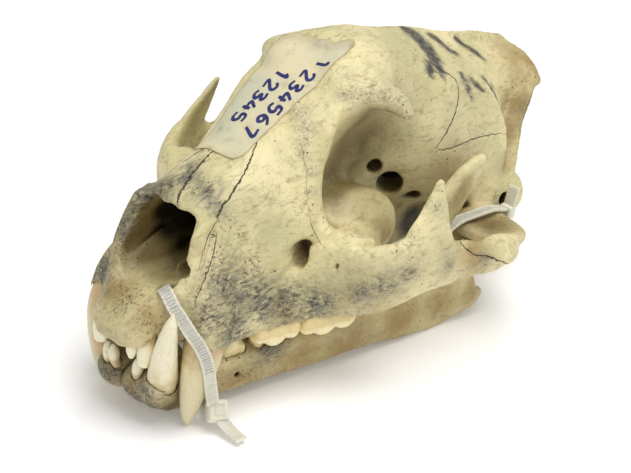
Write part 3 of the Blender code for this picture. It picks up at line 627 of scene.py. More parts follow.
@dataclass(frozen=True)
class BoneFinish:
    """Dry cleaned bone, weathered by age: satin, ivory to tan, browner in hollows with dust and painted
    shade, and painted near black deep inside.
    """

    name: str = "weathered_bone"
    ivory: str = "#e8daa8"
    dust: str = "#85703c"
    soil: str = "#4a3a1e"
    # Near black of the painted deep shadow, laid where the dark marks lie.
    deep: str = "#170e05"
    seam: str = "#33241a"
    # Broad sallow and tan clouds, what each piece marks out, a grain of short streaks, and speckle.
    tints: dict[str, Tint] = field(default_factory=lambda: {
        "cloud": Tint("#cec592", 24, 0.36, 0.60, 0.90, detail=3),
        "patch": Tint("#c4ad74", 14, 0.50, 0.74, 0.45),
        "green": Tint("#b9b38a", 19, 0.50, 0.70, 0.50, twist=0.2),
        "sallow": Tint("#bcb389", 11, 0.25, 0.60, 0.78, "sallow", 0.60),
        "tan": Tint("#96793f", 9, 0.25, 0.60, 0.92, "tan", 0.60),
        # Painted shade: olive brown where the pieces mark recesses that lie in shade.
        "shade": Tint("#5f5029", 12, 0.25, 0.60, 0.90, "shade", 0.60),
        "streak": Tint("#876f3c", 2.2, 0.50, 0.78, 0.70, detail=6, twist=0.8, stretch=2.6),
        "fibre": Tint("#7d775c", 1.3, 0.54, 0.76, 0.52, stretch=5.0),
        "speck": Tint("#f4eed8", 0.9, 0.56, 0.80, 0.35, detail=3, twist=0),
        "grey": Tint("#5b5b52", 2.3, 0.32, 0.58, 0.90, "grey", 0.26, 8, 0.7, 2.2),
        "soot": Tint("#25231f", 1.2, 0.48, 0.62, 0.90, "grey", 0.0, 6, 0.4, 2.4),
        "pits": Tint("#4a3d24", 1.0, 0.54, 0.62, 0.85, "porous", 0.0, 3, 0.2, 1.5),
        "crust": Tint("#f0e4bc", 1.5, 0.30, 0.55, 0.90, "rough", 0.15),
        "cells": Tint("#7d6530", 1.0, 0.55, 0.63, 0.80, "rough", 0.0, 3, 0.2),
        "ink": Tint("#2b2d38", 2.4, 0.24, 0.50, 0.92, "ink", 0.72, stretch=1.6),
    })

    def openings(self, node: NodeAdder, place: Socket, marks: dict) -> Socket:
        """Where the surface is open: 1 in sutures, cracks and pores, 0 elsewhere.

        Args:
            node: What adds nodes.
            place: Object coordinates.
            marks: What the piece stores on its vertices.

        Returns:
            The share of each place that is open.
        """
        # Sutures and cracks: dark lines that waver by a few tenths of a millimetre.
        wander = node("TexNoise", grain(place, 1.8, 4.0))
        wander = node("Math", (wander, 1.6, marks["seam"]), **TIMES_PLUS)
        gap = away_from(node, wander, 0.8)
        line = node("MapRange", (gap, 0.06, 0.30, 1.0, 0.0), **SMOOTH)
        reach = node("MapRange", (marks["seam_reach"], 0.0, 0.5), **SMOOTH)
        line = node("Math", (line, reach), **TIMES)
        # Pores: pinholes under half a millimetre wide, drawn as wide as shows, in scattered groups.
        cells = node("TexVoronoi", {"Vector": place, "Scale": 1.0 / (2.9 * MM)})
        pore = node("MapRange", (cells, 0.05, 0.12, 1.0, 0.0), **SMOOTH)
        herd = node("TexNoise", grain(place, 13, 2.0))
        for mark, share in (("rough", 0.30), ("porous", 0.35)):
            herd = node("Math", (marks[mark], share, herd), **TIMES_PLUS)
        herd = node("MapRange", (herd, 0.50, 0.62), **SMOOTH)
        pore = node("Math", (pore, herd), **TIMES)
        return node("Math", (pore, line), operation="MAXIMUM")

    def veins(self, node: NodeAdder, place: Socket, where: Socket) -> Socket:
        """Fine brown veins, where a slow noise crosses its middle, in some places only.

        Args:
            node: What adds nodes.
            place: Object coordinates.
            where: A noise that is high where there are veins.

        Returns:
            How strongly a vein covers each place.
        """
        vein = node("TexNoise", grain(place, 9, Distortion=0.9))
        vein = away_from(node, vein, 0.5)
        vein = node("MapRange", (vein, 0.0, 0.016, 0.6, 0.0), **SMOOTH)
        where = node("MapRange", (where, 0.45, 0.65), **SMOOTH)
        return node("Math", (vein, where), **TIMES)

    def build(self) -> bpy.types.Material:
        """The bone's material, which reads what each piece stores on its vertices."""
        made, node, shader = new_material(self.name)
        place = node("TexCoord", output="Object")
        marks = {word: node("Attribute", (), "Fac", attribute_name=word) for word in (*MARKS, *READINGS)}
        colour, noises = linear(self.ivory), {}
        for word, tint in self.tints.items():
            at = place
            if tint.stretch > 1:
                lay = {"Vector": place, "Scale": (1, 1 / tint.stretch, 1), "Rotation": (-0.5, 0, 0)}
                at = node("Mapping", lay)
            lumps = grain(at, tint.size, tint.detail, Distortion=tint.twist, Roughness=0.62)
            noises[word] = node("TexNoise", lumps)
            rise = (noises[word], tint.low, tint.high, tint.strength * tint.floor, tint.strength)
            share = node("MapRange", rise, **SMOOTH)
            if tint.mask:
                share = node("Math", (share, marks[tint.mask]), **TIMES)
            colour = node("Mix", {0: share, 6: colour, 7: linear(tint.colour)}, **OF_COLOURS)
        vein = self.veins(node, place, noises["green"])
        colour = node("Mix", {0: vein, 6: colour, 7: linear(self.dust)}, **OF_COLOURS)
        # Dust and painted shade in hollows, grime and painted shade in tight creases, and painted deep
        # shadow, near black, inside the nose and the skull.
        dust_and_shade_share = node("Math", (noises["patch"], 0.16, marks["hollow"]), **TIMES_PLUS)
        crease_grime_and_shade_share = node("Math", (noises["streak"], 0.24, marks["crevice"]), **TIMES_PLUS)
        for value, low, high, strength, shade in (
            (dust_and_shade_share, 0.40, 0.84, 0.80, self.dust),
            (crease_grime_and_shade_share, 0.62, 0.84, 0.75, self.soil),
            (marks["dark"], 0.30, 0.85, 0.97, self.deep),
        ):
            share = node("MapRange", (value, low, high, 0.0, strength), **SMOOTH)
            colour = node("Mix", {0: share, 6: colour, 7: linear(shade)}, **OF_COLOURS)
        holes = self.openings(node, place, marks)
        colour = node("Mix", {0: holes, 6: colour, 7: linear(self.seam)}, **OF_COLOURS)
        # Relief in millimetres: grain, fine tooth, spongy bone where it is rough, pores and cracks.
        spongy = node("Math", (marks["rough"], noises["crust"]), **TIMES)
        height = 0.0
        grains = ((noises["streak"], 0.26), (noises["fibre"], 0.14), (noises["speck"], 0.08))
        for value, depth in (*grains, (spongy, 2.2), (holes, -0.7)):
            height = node("Math", (value, depth, height), **TIMES_PLUS)
        feed(shader, {
            "Base Color": colour,
            "Normal": node("Bump", {"Strength": 1.0, "Distance": MM, "Height": height}),
            "Roughness": node("MapRange", (noises["patch"], 0.3, 0.7, 0.62, 0.46)),
            "IOR": 1.5,
            "Subsurface Weight": 0.06,
            "Subsurface Radius": (1.0, 0.6, 0.35),
            "Subsurface Scale": 1.5 * MM,
        })
        return made


@dataclass(frozen=True)
class EnamelFinish:
    """Tooth enamel over yellowing dentine: smooth and glossy, whiter towards the tip, finely cracked."""

    name: str
    crown: str = "#eee6c6"
    neck: str = "#e1d3a6"
    root: str = "#cbb688"
    crack: str = "#6a5230"

    def build(self) -> bpy.types.Material:
        """The tooth's material, which reads how far each place is from the root to the tip."""
        made, node, shader = new_material(self.name)
        place = node("TexCoord", output="Object")
        along = node("Attribute", (), "Fac", attribute_name="along")
        crevice = node("Attribute", (), "Fac", attribute_name="crevice")
        shifted = node("Math", (node("TexNoise", grain(place, 5, 4.0)), 0.5, along), **TIMES_PLUS)
        # Hairline cracks run along the tooth, half a millimetre apart at their closest.
        stretched = node("Mapping", {"Vector": place, "Scale": (900, 900, 70)})
        lines = node("TexNoise", {"Vector": stretched, "Scale": 1.0, "Detail": 2.0})
        hair = away_from(node, lines, 0.5)
        base = linear(self.root)
        for spread, shade, kind in (
            ((shifted, 0.30, 0.52), self.neck, SMOOTH),
            ((shifted, 0.25, 0.75), self.crown, SMOOTH),
            ((hair, 0.0, 0.012, 0.35, 0.0), self.crack, {}),
            # Grime and painted shade in the creases between cusps.
            ((crevice, 0.54, 0.74, 0.0, 0.85), self.crack, SMOOTH),
        ):
            share = node("MapRange", spread, **kind)
            base = node("Mix", {0: share, 6: base, 7: linear(shade)}, **OF_COLOURS)
        feed(shader, {
            "Base Color": base,
            "Normal": node("Bump", {"Strength": 0.5, "Distance": 0.15 * MM, "Height": lines}),
            "Roughness": 0.32,
            "IOR": 1.6,
            "Subsurface Weight": 0.15,
            "Subsurface Radius": (1.0, 0.7, 0.45),
            "Subsurface Scale": 2.0 * MM,
        })
        return made


@dataclass(frozen=True)
class NylonFinish:
    """Natural nylon 6/6, injection moulded: milky, a little see-through, with a soft sheen."""

    name: str = "natural_nylon"
    milk: str = "#dcd8c6"
    grime: str = "#aaa283"

    def build(self) -> bpy.types.Material:
        """The ties' material."""
        made, node, shader = new_material(self.name)
        place = node("TexCoord", output="Object")
        cloudy = node("TexNoise", grain(place, 6, 4.0))
        share = node("MapRange", (cloudy, 0.5, 0.8, 0.0, 0.4), **SMOOTH)
        base = node("Mix", {0: share, 6: linear(self.milk), 7: linear(self.grime)}, **OF_COLOURS)
        feed(shader, {
            "Base Color": base,
            "Roughness": 0.34,
            "IOR": 1.53,
            "Subsurface Weight": 0.6,
            "Subsurface Radius": (1.0, 1.0, 0.8),
            "Subsurface Scale": 2.0 * MM,
        })
        return made


@dataclass(frozen=True)
class PaperFinish:
    """Thin wove paper, yellowed by age and glue: matt, fibrous, darker at its torn edges."""

    name: str = "yellowed_paper"
    sheet: str = "#c6c5aa"
    faded: str = "#dacea8"
    stain: str = "#a68a5c"
    edge: str = "#a98d5c"

    def build(self) -> bpy.types.Material:
        """The label's material, which reads how near each place is to an edge."""
        made, node, shader = new_material(self.name)
        place = node("TexCoord", output="Object")
        rim = node("Attribute", (), "Fac", attribute_name="rim")
        worn = node("Attribute", (), "Fac", attribute_name="worn")
        broad = node("TexNoise", grain(place, 22, 4.0, Distortion=0.5))
        share = node("MapRange", (broad, 0.35, 0.65), **SMOOTH)
        # Foxing: brown specks and blots of a few millimetres.
        spots = node("TexNoise", grain(place, 4, 6.0, Roughness=0.7))
        fox = node("MapRange", (spots, 0.52, 0.76, 0.0, 0.55), **SMOOTH)
        fox = node("Math", (worn, 0.5, fox), **TIMES_PLUS)
        dark = node("MapRange", (rim, 0.0, 0.8, 0.45, 0.0), **SMOOTH)
        base = linear(self.sheet)
        for cover, shade in ((share, self.faded), (fox, self.stain), (dark, self.edge)):
            base = node("Mix", {0: cover, 6: base, 7: linear(shade)}, **OF_COLOURS)
        fibres = node("TexNoise", grain(place, 0.8, Roughness=0.7))
        bump = node("Bump", {"Strength": 0.5, "Distance": 0.15 * MM, "Height": fibres})
        feed(shader, {"Base Color": base, "Normal": bump, "Roughness": 0.85, "IOR": 1.45})
        return made


@dataclass(frozen=True)
class InkFinish:
    """Blue ball-pen ink, dried into the paper: dark, with a faint sheen where it lies thick."""

    name: str = "blue_pen_ink"
    wet: str = "#141a55"
    dry: str = "#2b357c"

    def build(self) -> bpy.types.Material:
        """The pen strokes' material."""
        made, node, shader = new_material(self.name)
        cloudy = node("TexNoise", grain(node("TexCoord", output="Object"), 1.2, 3.0))
        share = node("MapRange", (cloudy, 0.4, 0.7))
        base = node("Mix", {0: share, 6: linear(self.wet), 7: linear(self.dry)}, **OF_COLOURS)
        feed(shader, {"Base Color": base, "Roughness": 0.5})
        return made


# How many directions are looked in for how sheltered a place is.
WAYS, QUICK_WAYS = 26, 16
# An ink stroke ends where its patch has faded to this share, and darkens this many times as fast.
INK_FADES_AT = 0.3
INK_SHARPNESS = 2.6


def patches(places: np.ndarray, spots: Stops) -> np.ndarray:
    """How strongly soft round patches cover each place.

    Args:
        places: Points in the skull's frame.
        spots: For each patch (x, y, z, radius), in millimetres.

    Returns:
        From 0 to 1, one number a place.
    """
    found = np.zeros(len(places))
    for *centre, radius in spots:
        away = np.sum((places - centre) ** 2, axis=1) / radius**2
        found = np.maximum(found, np.exp(-away))
    return found


@dataclass(frozen=True)
class Seam:
    """A suture or crack: the line that it follows, and how many times as wide as a fine one it is."""

    line: Stops
    width: float = 1.0
    both_sides: bool = True


def mark_seams(piece: bpy.types.Object, seams: list[Seam]) -> None:
    """Store on a piece how far each vertex lies to one side of the nearest seam.

    Args:
        piece: The piece, in the skull's frame.
        seams: Its sutures and cracks.
    """
    places, normals = vertex_places(piece), vertex_normals(piece)
    nearest = np.full(len(places), FAR)
    signed = np.full(len(places), FAR)
    for seam in seams:
        for side in (1, -1) if seam.both_sides else (1,):
            line = spline([(x * side, y, z) for x, y, z in seam.line], 4)
            for start, run in zip(line, np.diff(line, axis=0)):
                share = np.clip((places - start) @ run / (run @ run), 0, 1)
                offset = places - start - share[:, None] * run
                away = np.linalg.norm(offset, axis=1)
                across = np.sum(np.cross(run, normals) * offset, axis=1)
                closer = away < nearest
                nearest[closer] = away[closer]
                signed[closer] = (np.sign(across) * away / seam.width)[closer]
    store(piece, "seam", signed)
    store(piece, "seam_reach", np.clip(1.6 - nearest / 1.6, 0, 1))


def surface_of(piece: bpy.types.Object) -> BVHTree:
    """A piece's faces, ready for rays."""
    data = piece.data
    return BVHTree.FromPolygons([v.co for v in data.vertices], [f.vertices for f in data.polygons])


def lay_on(ground: BVHTree, x: float, y: float, gap: float) -> Vector:
    """The place this far off the surface that a line straight down at x and y meets first."""
    place, normal, _, _ = ground.ray_cast(Vector((x, y, SKY)), Vector((0, 0, -1)))
    return place + normal * gap


def shelter(piece: bpy.types.Object, ways: int, reach: float = 45.0) -> np.ndarray:
    """How much of what each vertex faces is the piece itself: 0 in the open, near 1 deep inside.

    Args:
        piece: The piece, in the skull's frame.
        ways: How many directions are looked in.
        reach: How far, in millimetres.

    Returns:
        One number a vertex.
    """
    places, normals = vertex_places(piece), vertex_normals(piece)
    ground = surface_of(piece)
    starts = [Vector(row) for row in places + normals * 0.4]
    turns = np.arange(ways) + 0.5
    tilt, spin = np.arccos(1 - 2 * turns / ways), math.pi * (1 + 5**0.5) * turns
    blocked, total = np.zeros(len(places)), np.zeros(len(places))
    ways = np.column_stack([np.cos(spin) * np.sin(tilt), np.sin(spin) * np.sin(tilt), np.cos(tilt)])
    for way in ways:
        facing = normals @ way
        toward = Vector(way)
        for i in np.nonzero(facing > 0.2)[0]:
            total[i] += facing[i]
            if ground.ray_cast(starts[i], toward, reach)[0] is not None:
                blocked[i] += facing[i]
    share = blocked / np.maximum(total, 1e-6)
    edges = np.empty(len(piece.data.edges) * 2, int)
    piece.data.edges.foreach_get("vertices", edges)
    near, far = edges.reshape(-1, 2).T
    for _ in range(4):
        summed, count = share.copy(), np.ones(len(share))
        for a, b in ((near, far), (far, near)):
            summed += np.bincount(a, share[b], len(share))
            count += np.bincount(a, minlength=len(share))
        share = summed / count
    return share


def dress_bone(
    piece: bpy.types.Object,
    grown: Volume,
    finish: bpy.types.Material,
    marks: dict[str, Stops],
    seams: list[Seam],
) -> None:
    """Store on a bone what its material reads, and give it the material.

    Args:
        piece: The bone, in the skull's frame.
        grown: The volume that it was read from.
        finish: Its material.
        marks: For each kind of mark, its patches.
        seams: Its sutures and cracks.
    """
    places, normals = vertex_places(piece), vertex_normals(piece)
    # How sheltered and how tightly creased each place is: these set dust, grime and painted shade in the
    # material.
    store(piece, "hollow", shelter(piece, WAYS))
    store(piece, "crevice", grown.hollowness(places + normals * 0.5, 2.2))
    for word in MARKS:
        share = patches(places, marks.get(word, []))
        if word == "ink":
            share = np.clip((share - INK_FADES_AT) * INK_SHARPNESS, 0, 1)
        store(piece, word, share)
    mark_seams(piece, seams)
    piece.data.materials.append(finish)


@dataclass
class Tooth:
    """A tooth: its name, the shapes that it is grown from, and where its gum line and tip are."""

    name: str
    shapes: list[tuple[Shape, float]]
    gum: Point
    tip: Point
    voxel: float = 0.36
    room: float = 0.25
    triangle_limit: int = 30000

    def build(self, finish: bpy.types.Material) -> bpy.types.Object:
        """Grow the tooth and dress it.

        Args:
            finish: Its enamel.

        Returns:
            The tooth, placed and riding.
        """
        low = np.min([shape.low for shape, _ in self.shapes], axis=0) - 2
        high = np.max([shape.high for shape, _ in self.shapes], axis=0) + 2
        grown = Volume(low, high, self.voxel)
        for shape, blend in self.shapes:
            grown.add(shape, blend)
        piece = grown.mesh(self.name, self.triangle_limit)
        roughen(piece, 0.12, 3.0, len(self.name))
        places, normals = vertex_places(piece), vertex_normals(piece)
        run = np.subtract(self.tip, self.gum)
        store(piece, "along", np.clip((places - self.gum) @ run / (run @ run), -0.5, 1.2))
        store(piece, "crevice", grown.hollowness(places + normals * 0.4, 1.4))
        piece.data.materials.append(finish)
        finish_piece(piece, Slot.TOOTH, self.name)
        return piece

    def socket(self, bone: Volume) -> None:
        """Cut the tooth's socket into the bone that holds it."""
        for shape, _ in self.shapes:
            bone.cut(shape, 0.3, self.room)


def tapered_tooth(
    name: str, side: Side, stops: Stops, gum: Point, tip: Point, steps: int = 6, voxel: float = 0.36
) -> Tooth:
    """A tooth of one tapered bar.

    Args:
        name: Its name without the side.
        side: The side that it stands on.
        stops: The bar's stops, as on the left.
        gum: Where its gum line is, as on the left.
        tip: Where its tip is, as on the left.
        steps: How many steps lie between two stops.
        voxel: The pitch of the grid that it is grown on.

    Returns:
        The tooth.
    """
    gum, tip = mirrored([gum, tip], side)
    shapes = [(Bar(mirrored(stops, side), steps=steps), 0.5)]
    return Tooth(f"{name}_{side.word}", shapes, gum, tip, voxel)


def upper_canine(side: Side) -> Tooth:
    """The long fang of the upper jaw."""
    stops = [
        (21, 26, 9, 3.8, 5.5), (22, 23.6, 4, 5.2, 7.4), (22.8, 21.2, -2, 5.9, 8.2),
        (23.2, 19.3, -9, 5.4, 7.4), (22.8, 17.9, -17, 4.4, 5.7), (21.8, 17.3, -25, 3.0, 3.8),
        (20.9, 17.6, -31, 1.7, 2.0), (20.5, 17.9, -33.6, 0.6, 0.6),
    ]
    return tapered_tooth("upper_canine", side, stops, (22.7, 20.4, 0), (20.6, 17.8, -33.2))


def lower_canine(side: Side) -> Tooth:
    """The fang of the lower jaw; the right one is broken off short."""
    stops = [
        (12, 15.5, -24, 3.4, 4), (13, 12.8, -20.5, 4.2, 4.8), (15, 10, -14, 5, 5.5),
        (17.3, 8, -5, 4.3, 4.6), (19.4, 6.8, 4, 3.2, 3.4), (20.9, 6.3, 10.5, 1.9, 2),
        (21.6, 6.4, 14.6, 0.5, 0.5),
    ]
    tip = (21.6, 6.4, 14.6)
    if side is Side.RIGHT:
        stops = [
            (11.6, 15.5, -24, 3.2, 3.8), (12.3, 13.4, -20.5, 3.8, 4.4), (13.7, 11, -15.5, 4.2, 4.6),
            (14.6, 10, -10.5, 3.6, 4), (15, 9.6, -8.2, 2.6, 2.8),
        ]
        tip = (15, 9.6, -6)
    return tapered_tooth("lower_canine", side, stops, (14.5, 10.5, -16), tip)


@dataclass(frozen=True)
class Peg:
    """An incisor's shape: root, neck and tip, and its half widths across and front to back."""

    name: str
    root: Point
    neck: Point
    tip: Point
    radius: float
    depth: float
    blunt: float = 0.62

    def tooth(self, side: Side) -> Tooth:
        """The incisor on one side."""
        crown = np.add(np.multiply(self.neck, 0.45), np.multiply(self.tip, 0.55))
        stops = [
            (*self.root, self.radius * 0.8, self.depth * 0.8),
            (*self.neck, self.radius * 0.92, self.depth * 0.95),
            (*crown, self.radius * 1.05, self.depth * 0.95),
            (*self.tip, self.radius * self.blunt, self.depth * self.blunt * 0.75),
        ]
        return tapered_tooth(self.name, side, stops, self.neck, self.tip, 5, 0.28)


INCISORS = [
    Peg("upper_incisor_3", (11, 9.6, 6), (10.9, 6.5, 0.5), (10.6, 4.9, -8.2), 2.9, 3, 0.85),
    Peg("upper_incisor_2", (6.6, 6.4, 4), (6.8, 3.4, -1), (6.9, 2.9, -6.6), 1.8, 2.3),
    Peg("lower_incisor_3", (6.2, 9, -20), (7, 6.4, -15), (7.3, 6, -9.5), 1.9, 2.2),
]
LONE_INCISOR = Peg("lower_incisor_2", (3, 8.5, -19), (3.4, 5.4, -14), (3.6, 4.8, -8.5), 1.7, 2)


@dataclass(frozen=True)
class Blade:
    """A cheek tooth's shape: a blade along the tooth row with pointed cusps.

    Each cusp is (share of the way back, half length, height of its tip). Root is the height where the
    tooth ends in its socket, and gum the height where the crown begins.
    """

    name: str
    front: tuple[float, float]
    back: tuple[float, float]
    half_width: float
    root: float
    gum: float
    cusps: tuple[Point, ...]

    def tooth(self, side: Side) -> Tooth:
        """The cheek tooth on one side."""
        front, back = np.array(self.front, float), np.array(self.back, float)
        middle, half = (self.root + self.gum) / 2, abs(self.root - self.gum) / 2
        row = [(*(front + (back - front) * share), middle) for share in (0.12, 0.5, 0.88)]
        base = Bar(mirrored([(*place, self.half_width * 0.65, half + 0.6) for place in row], side))
        shapes = [(base, 1.0)]
        direction = (back - front) / np.linalg.norm(back - front)
        across = (direction[1] * side.value, -direction[0], 0)
        for share, length, tip in self.cusps:
            x, y = front + (back - front) * share
            rise = tip - self.gum
            stops = [
                (x, y, self.gum, self.half_width, length),
                (x, y, self.gum + rise * 0.35, self.half_width * 0.9, length * 0.85),
                (x, y, self.gum + rise * 0.7, self.half_width * 0.55, length * 0.5),
                (x * 0.995, y, tip, 0.7, 0.9),
            ]
            shapes.append((Bar(mirrored(stops, side), side=across, steps=3), 1.5))
        x, y = (front + back) / 2
        tip = max(self.cusps, key=lambda cusp: abs(cusp[2] - self.gum))[2]
        gum = (x * side.value, y, self.gum)
        return Tooth(f"{self.name}_{side.word}", shapes, gum, (gum[0], y, tip), 0.4)


CHEEK_TEETH = [
    Blade("upper_premolar_3", (27.4, 39.6), (32.6, 56.6), 3.9, 2, -3,
          ((0.14, 3.4, -5.6), (0.48, 5.6, -8.8), (0.84, 3.6, -6.2))),
    Blade("upper_premolar_4", (33.4, 57.6), (39.2, 78.6), 3.9, 2, -3.2,
          ((0.12, 3.8, -5.8), (0.42, 6.2, -8.6), (0.8, 5.4, -7.2))),
    Blade("lower_premolar_3", (19.5, 31.5), (22, 41.5), 3, -16, -11,
          ((0.2, 2.2, -7.5), (0.5, 3.2, -3.5), (0.82, 2.2, -7.5))),
    Blade("lower_premolar_4", (22.5, 43.5), (25.5, 58.5), 3, -16, -11,
          ((0.18, 2.6, -7), (0.5, 4, -2.5), (0.83, 2.8, -7))),
    Blade("lower_molar_1", (26, 60.5), (29, 77), 3, -16, -11, ((0.27, 4.2, -2), (0.72, 4.2, -2))),
]


def all_teeth() -> list[Tooth]:
    """Every tooth that the skull still has."""
    teeth = [LONE_INCISOR.tooth(Side.RIGHT)]
    for side in Side:
        teeth += [upper_canine(side), lower_canine(side)]
        teeth += [shape.tooth(side) for shape in (*INCISORS, *CHEEK_TEETH)]
    return teeth


# Half sections of the snout and braincase: (y, height of the middle, outline from top to bottom).
BODY = [
    (-1, 0, [(0, 2), (4, 2), (6, 0), (5, -2), (0, -2)]),
    (3, 2, [(0, 6), (7, 6), (12, 3), (12, -1), (8, -3), (0, -2.5)]),
    (8, 4, [(0, 10.5), (8, 11), (13, 8.5), (14.8, 3), (13.5, -1.5), (9, -2), (0, -1)]),
    (13, 7, [(0, 14), (7, 15), (14.5, 16), (17.2, 10.5), (17.4, 3), (15, -1), (10, -1), (0, 0)]),
    (18, 13, [(0, 24), (8, 26), (15.5, 26), (19.5, 16), (23, 4), (22, -1), (15, -1), (0, 3)]),
    (25, 19, [(0, 42), (10, 40.5), (16.5, 35), (21, 21), (26, 9), (26, 0), (18, 0), (0, 5)]),
    (36, 22, [(0, 47), (10, 45.5), (17, 39), (22, 26), (25.5, 12), (26, 0), (19, 0), (0, 6)]),
    (50, 25, [(0, 51), (9, 50.5), (17, 45), (24, 31), (28, 17), (31, 1), (24, -1), (0, 7)]),
    (60, 28, [(0, 57), (9, 56), (16.5, 51), (22, 44), (27, 35), (31, 23), (36, 8), (33, -1), (22, 2),
              (0, 8)]),
    (68, 32, [(0, 62), (10, 61), (18, 57), (22.5, 51), (25.5, 41), (31, 29), (37, 17), (38, 4),
              (30, 0), (0, 9)]),
    (75, 34, [(0, 66.5), (10, 66), (19, 62), (21.5, 53), (19, 42), (22, 32), (34, 22), (37, 8),
              (28, 1), (0, 9)]),
    (85, 38, [(0, 72.5), (11, 72), (21, 66.5), (19, 55), (16, 43), (17, 32), (28, 20), (22, 8),
              (0, 10)]),
    (99, 44, [(0, 80), (12, 79.6), (22, 74), (24, 67), (17, 56), (15, 43), (14.5, 30), (16, 19),
              (9, 13), (0, 13)]),
    (112, 47, [(0, 81.8), (9, 80.3), (18, 74), (21, 64), (19, 53), (17.5, 41), (16, 29), (14, 20),
               (8, 15), (0, 15)]),
    (125, 45, [(0, 79.2), (8, 76.2), (17, 67), (24, 56), (27, 43), (25, 29), (19, 19), (10, 15),
               (0, 14)]),
    (140, 41, [(0, 76), (8, 72), (19, 63.5), (28, 52), (33, 39), (32, 26), (25, 15), (12, 11),
               (0, 11)]),
    (156, 37, [(0, 70.8), (8, 67), (19, 59.5), (29, 49), (34, 37), (34, 24), (29, 13), (14, 9), (0, 10)]),
    (167, 35, [(0, 65.5), (7, 63), (17, 57), (27, 48), (32.8, 38), (34, 26), (31, 14), (14, 9), (0, 10)]),
    (175, 33, [(0, 62.8), (7, 60.5), (15, 55), (21, 47.5), (25, 37), (27, 26), (27.5, 14), (22, 9),
               (12, 9), (0, 10)]),
    (182, 32, [(0, 61), (7, 59), (14, 54), (18, 47), (20, 38), (21.5, 28), (23, 17), (20, 10),
               (12, 9), (0, 10)]),
    (190, 32, [(0, 58.5), (8, 57), (15, 53), (18.5, 47), (17.5, 39), (16, 30), (16, 20), (14, 12),
               (7, 11), (0, 12)]),
    (197, 34, [(0, 57.5), (8, 56), (16, 52.5), (20, 47.5), (15, 41), (12, 32), (11, 22), (9, 14),
               (6, 12), (0, 13)]),
    (202, 46, [(0, 55.5), (6, 54.5), (11, 52), (13, 48), (10, 44), (6, 41), (0, 39)]),
]


# The line of the crack at the joint of each cheek arch.
ARCH_CRACK = [(58.4, 104.5, 26.4), (62.3, 111.1, 19.4), (64.5, 120.8, 15), (64.7, 133.6, 7.7)]


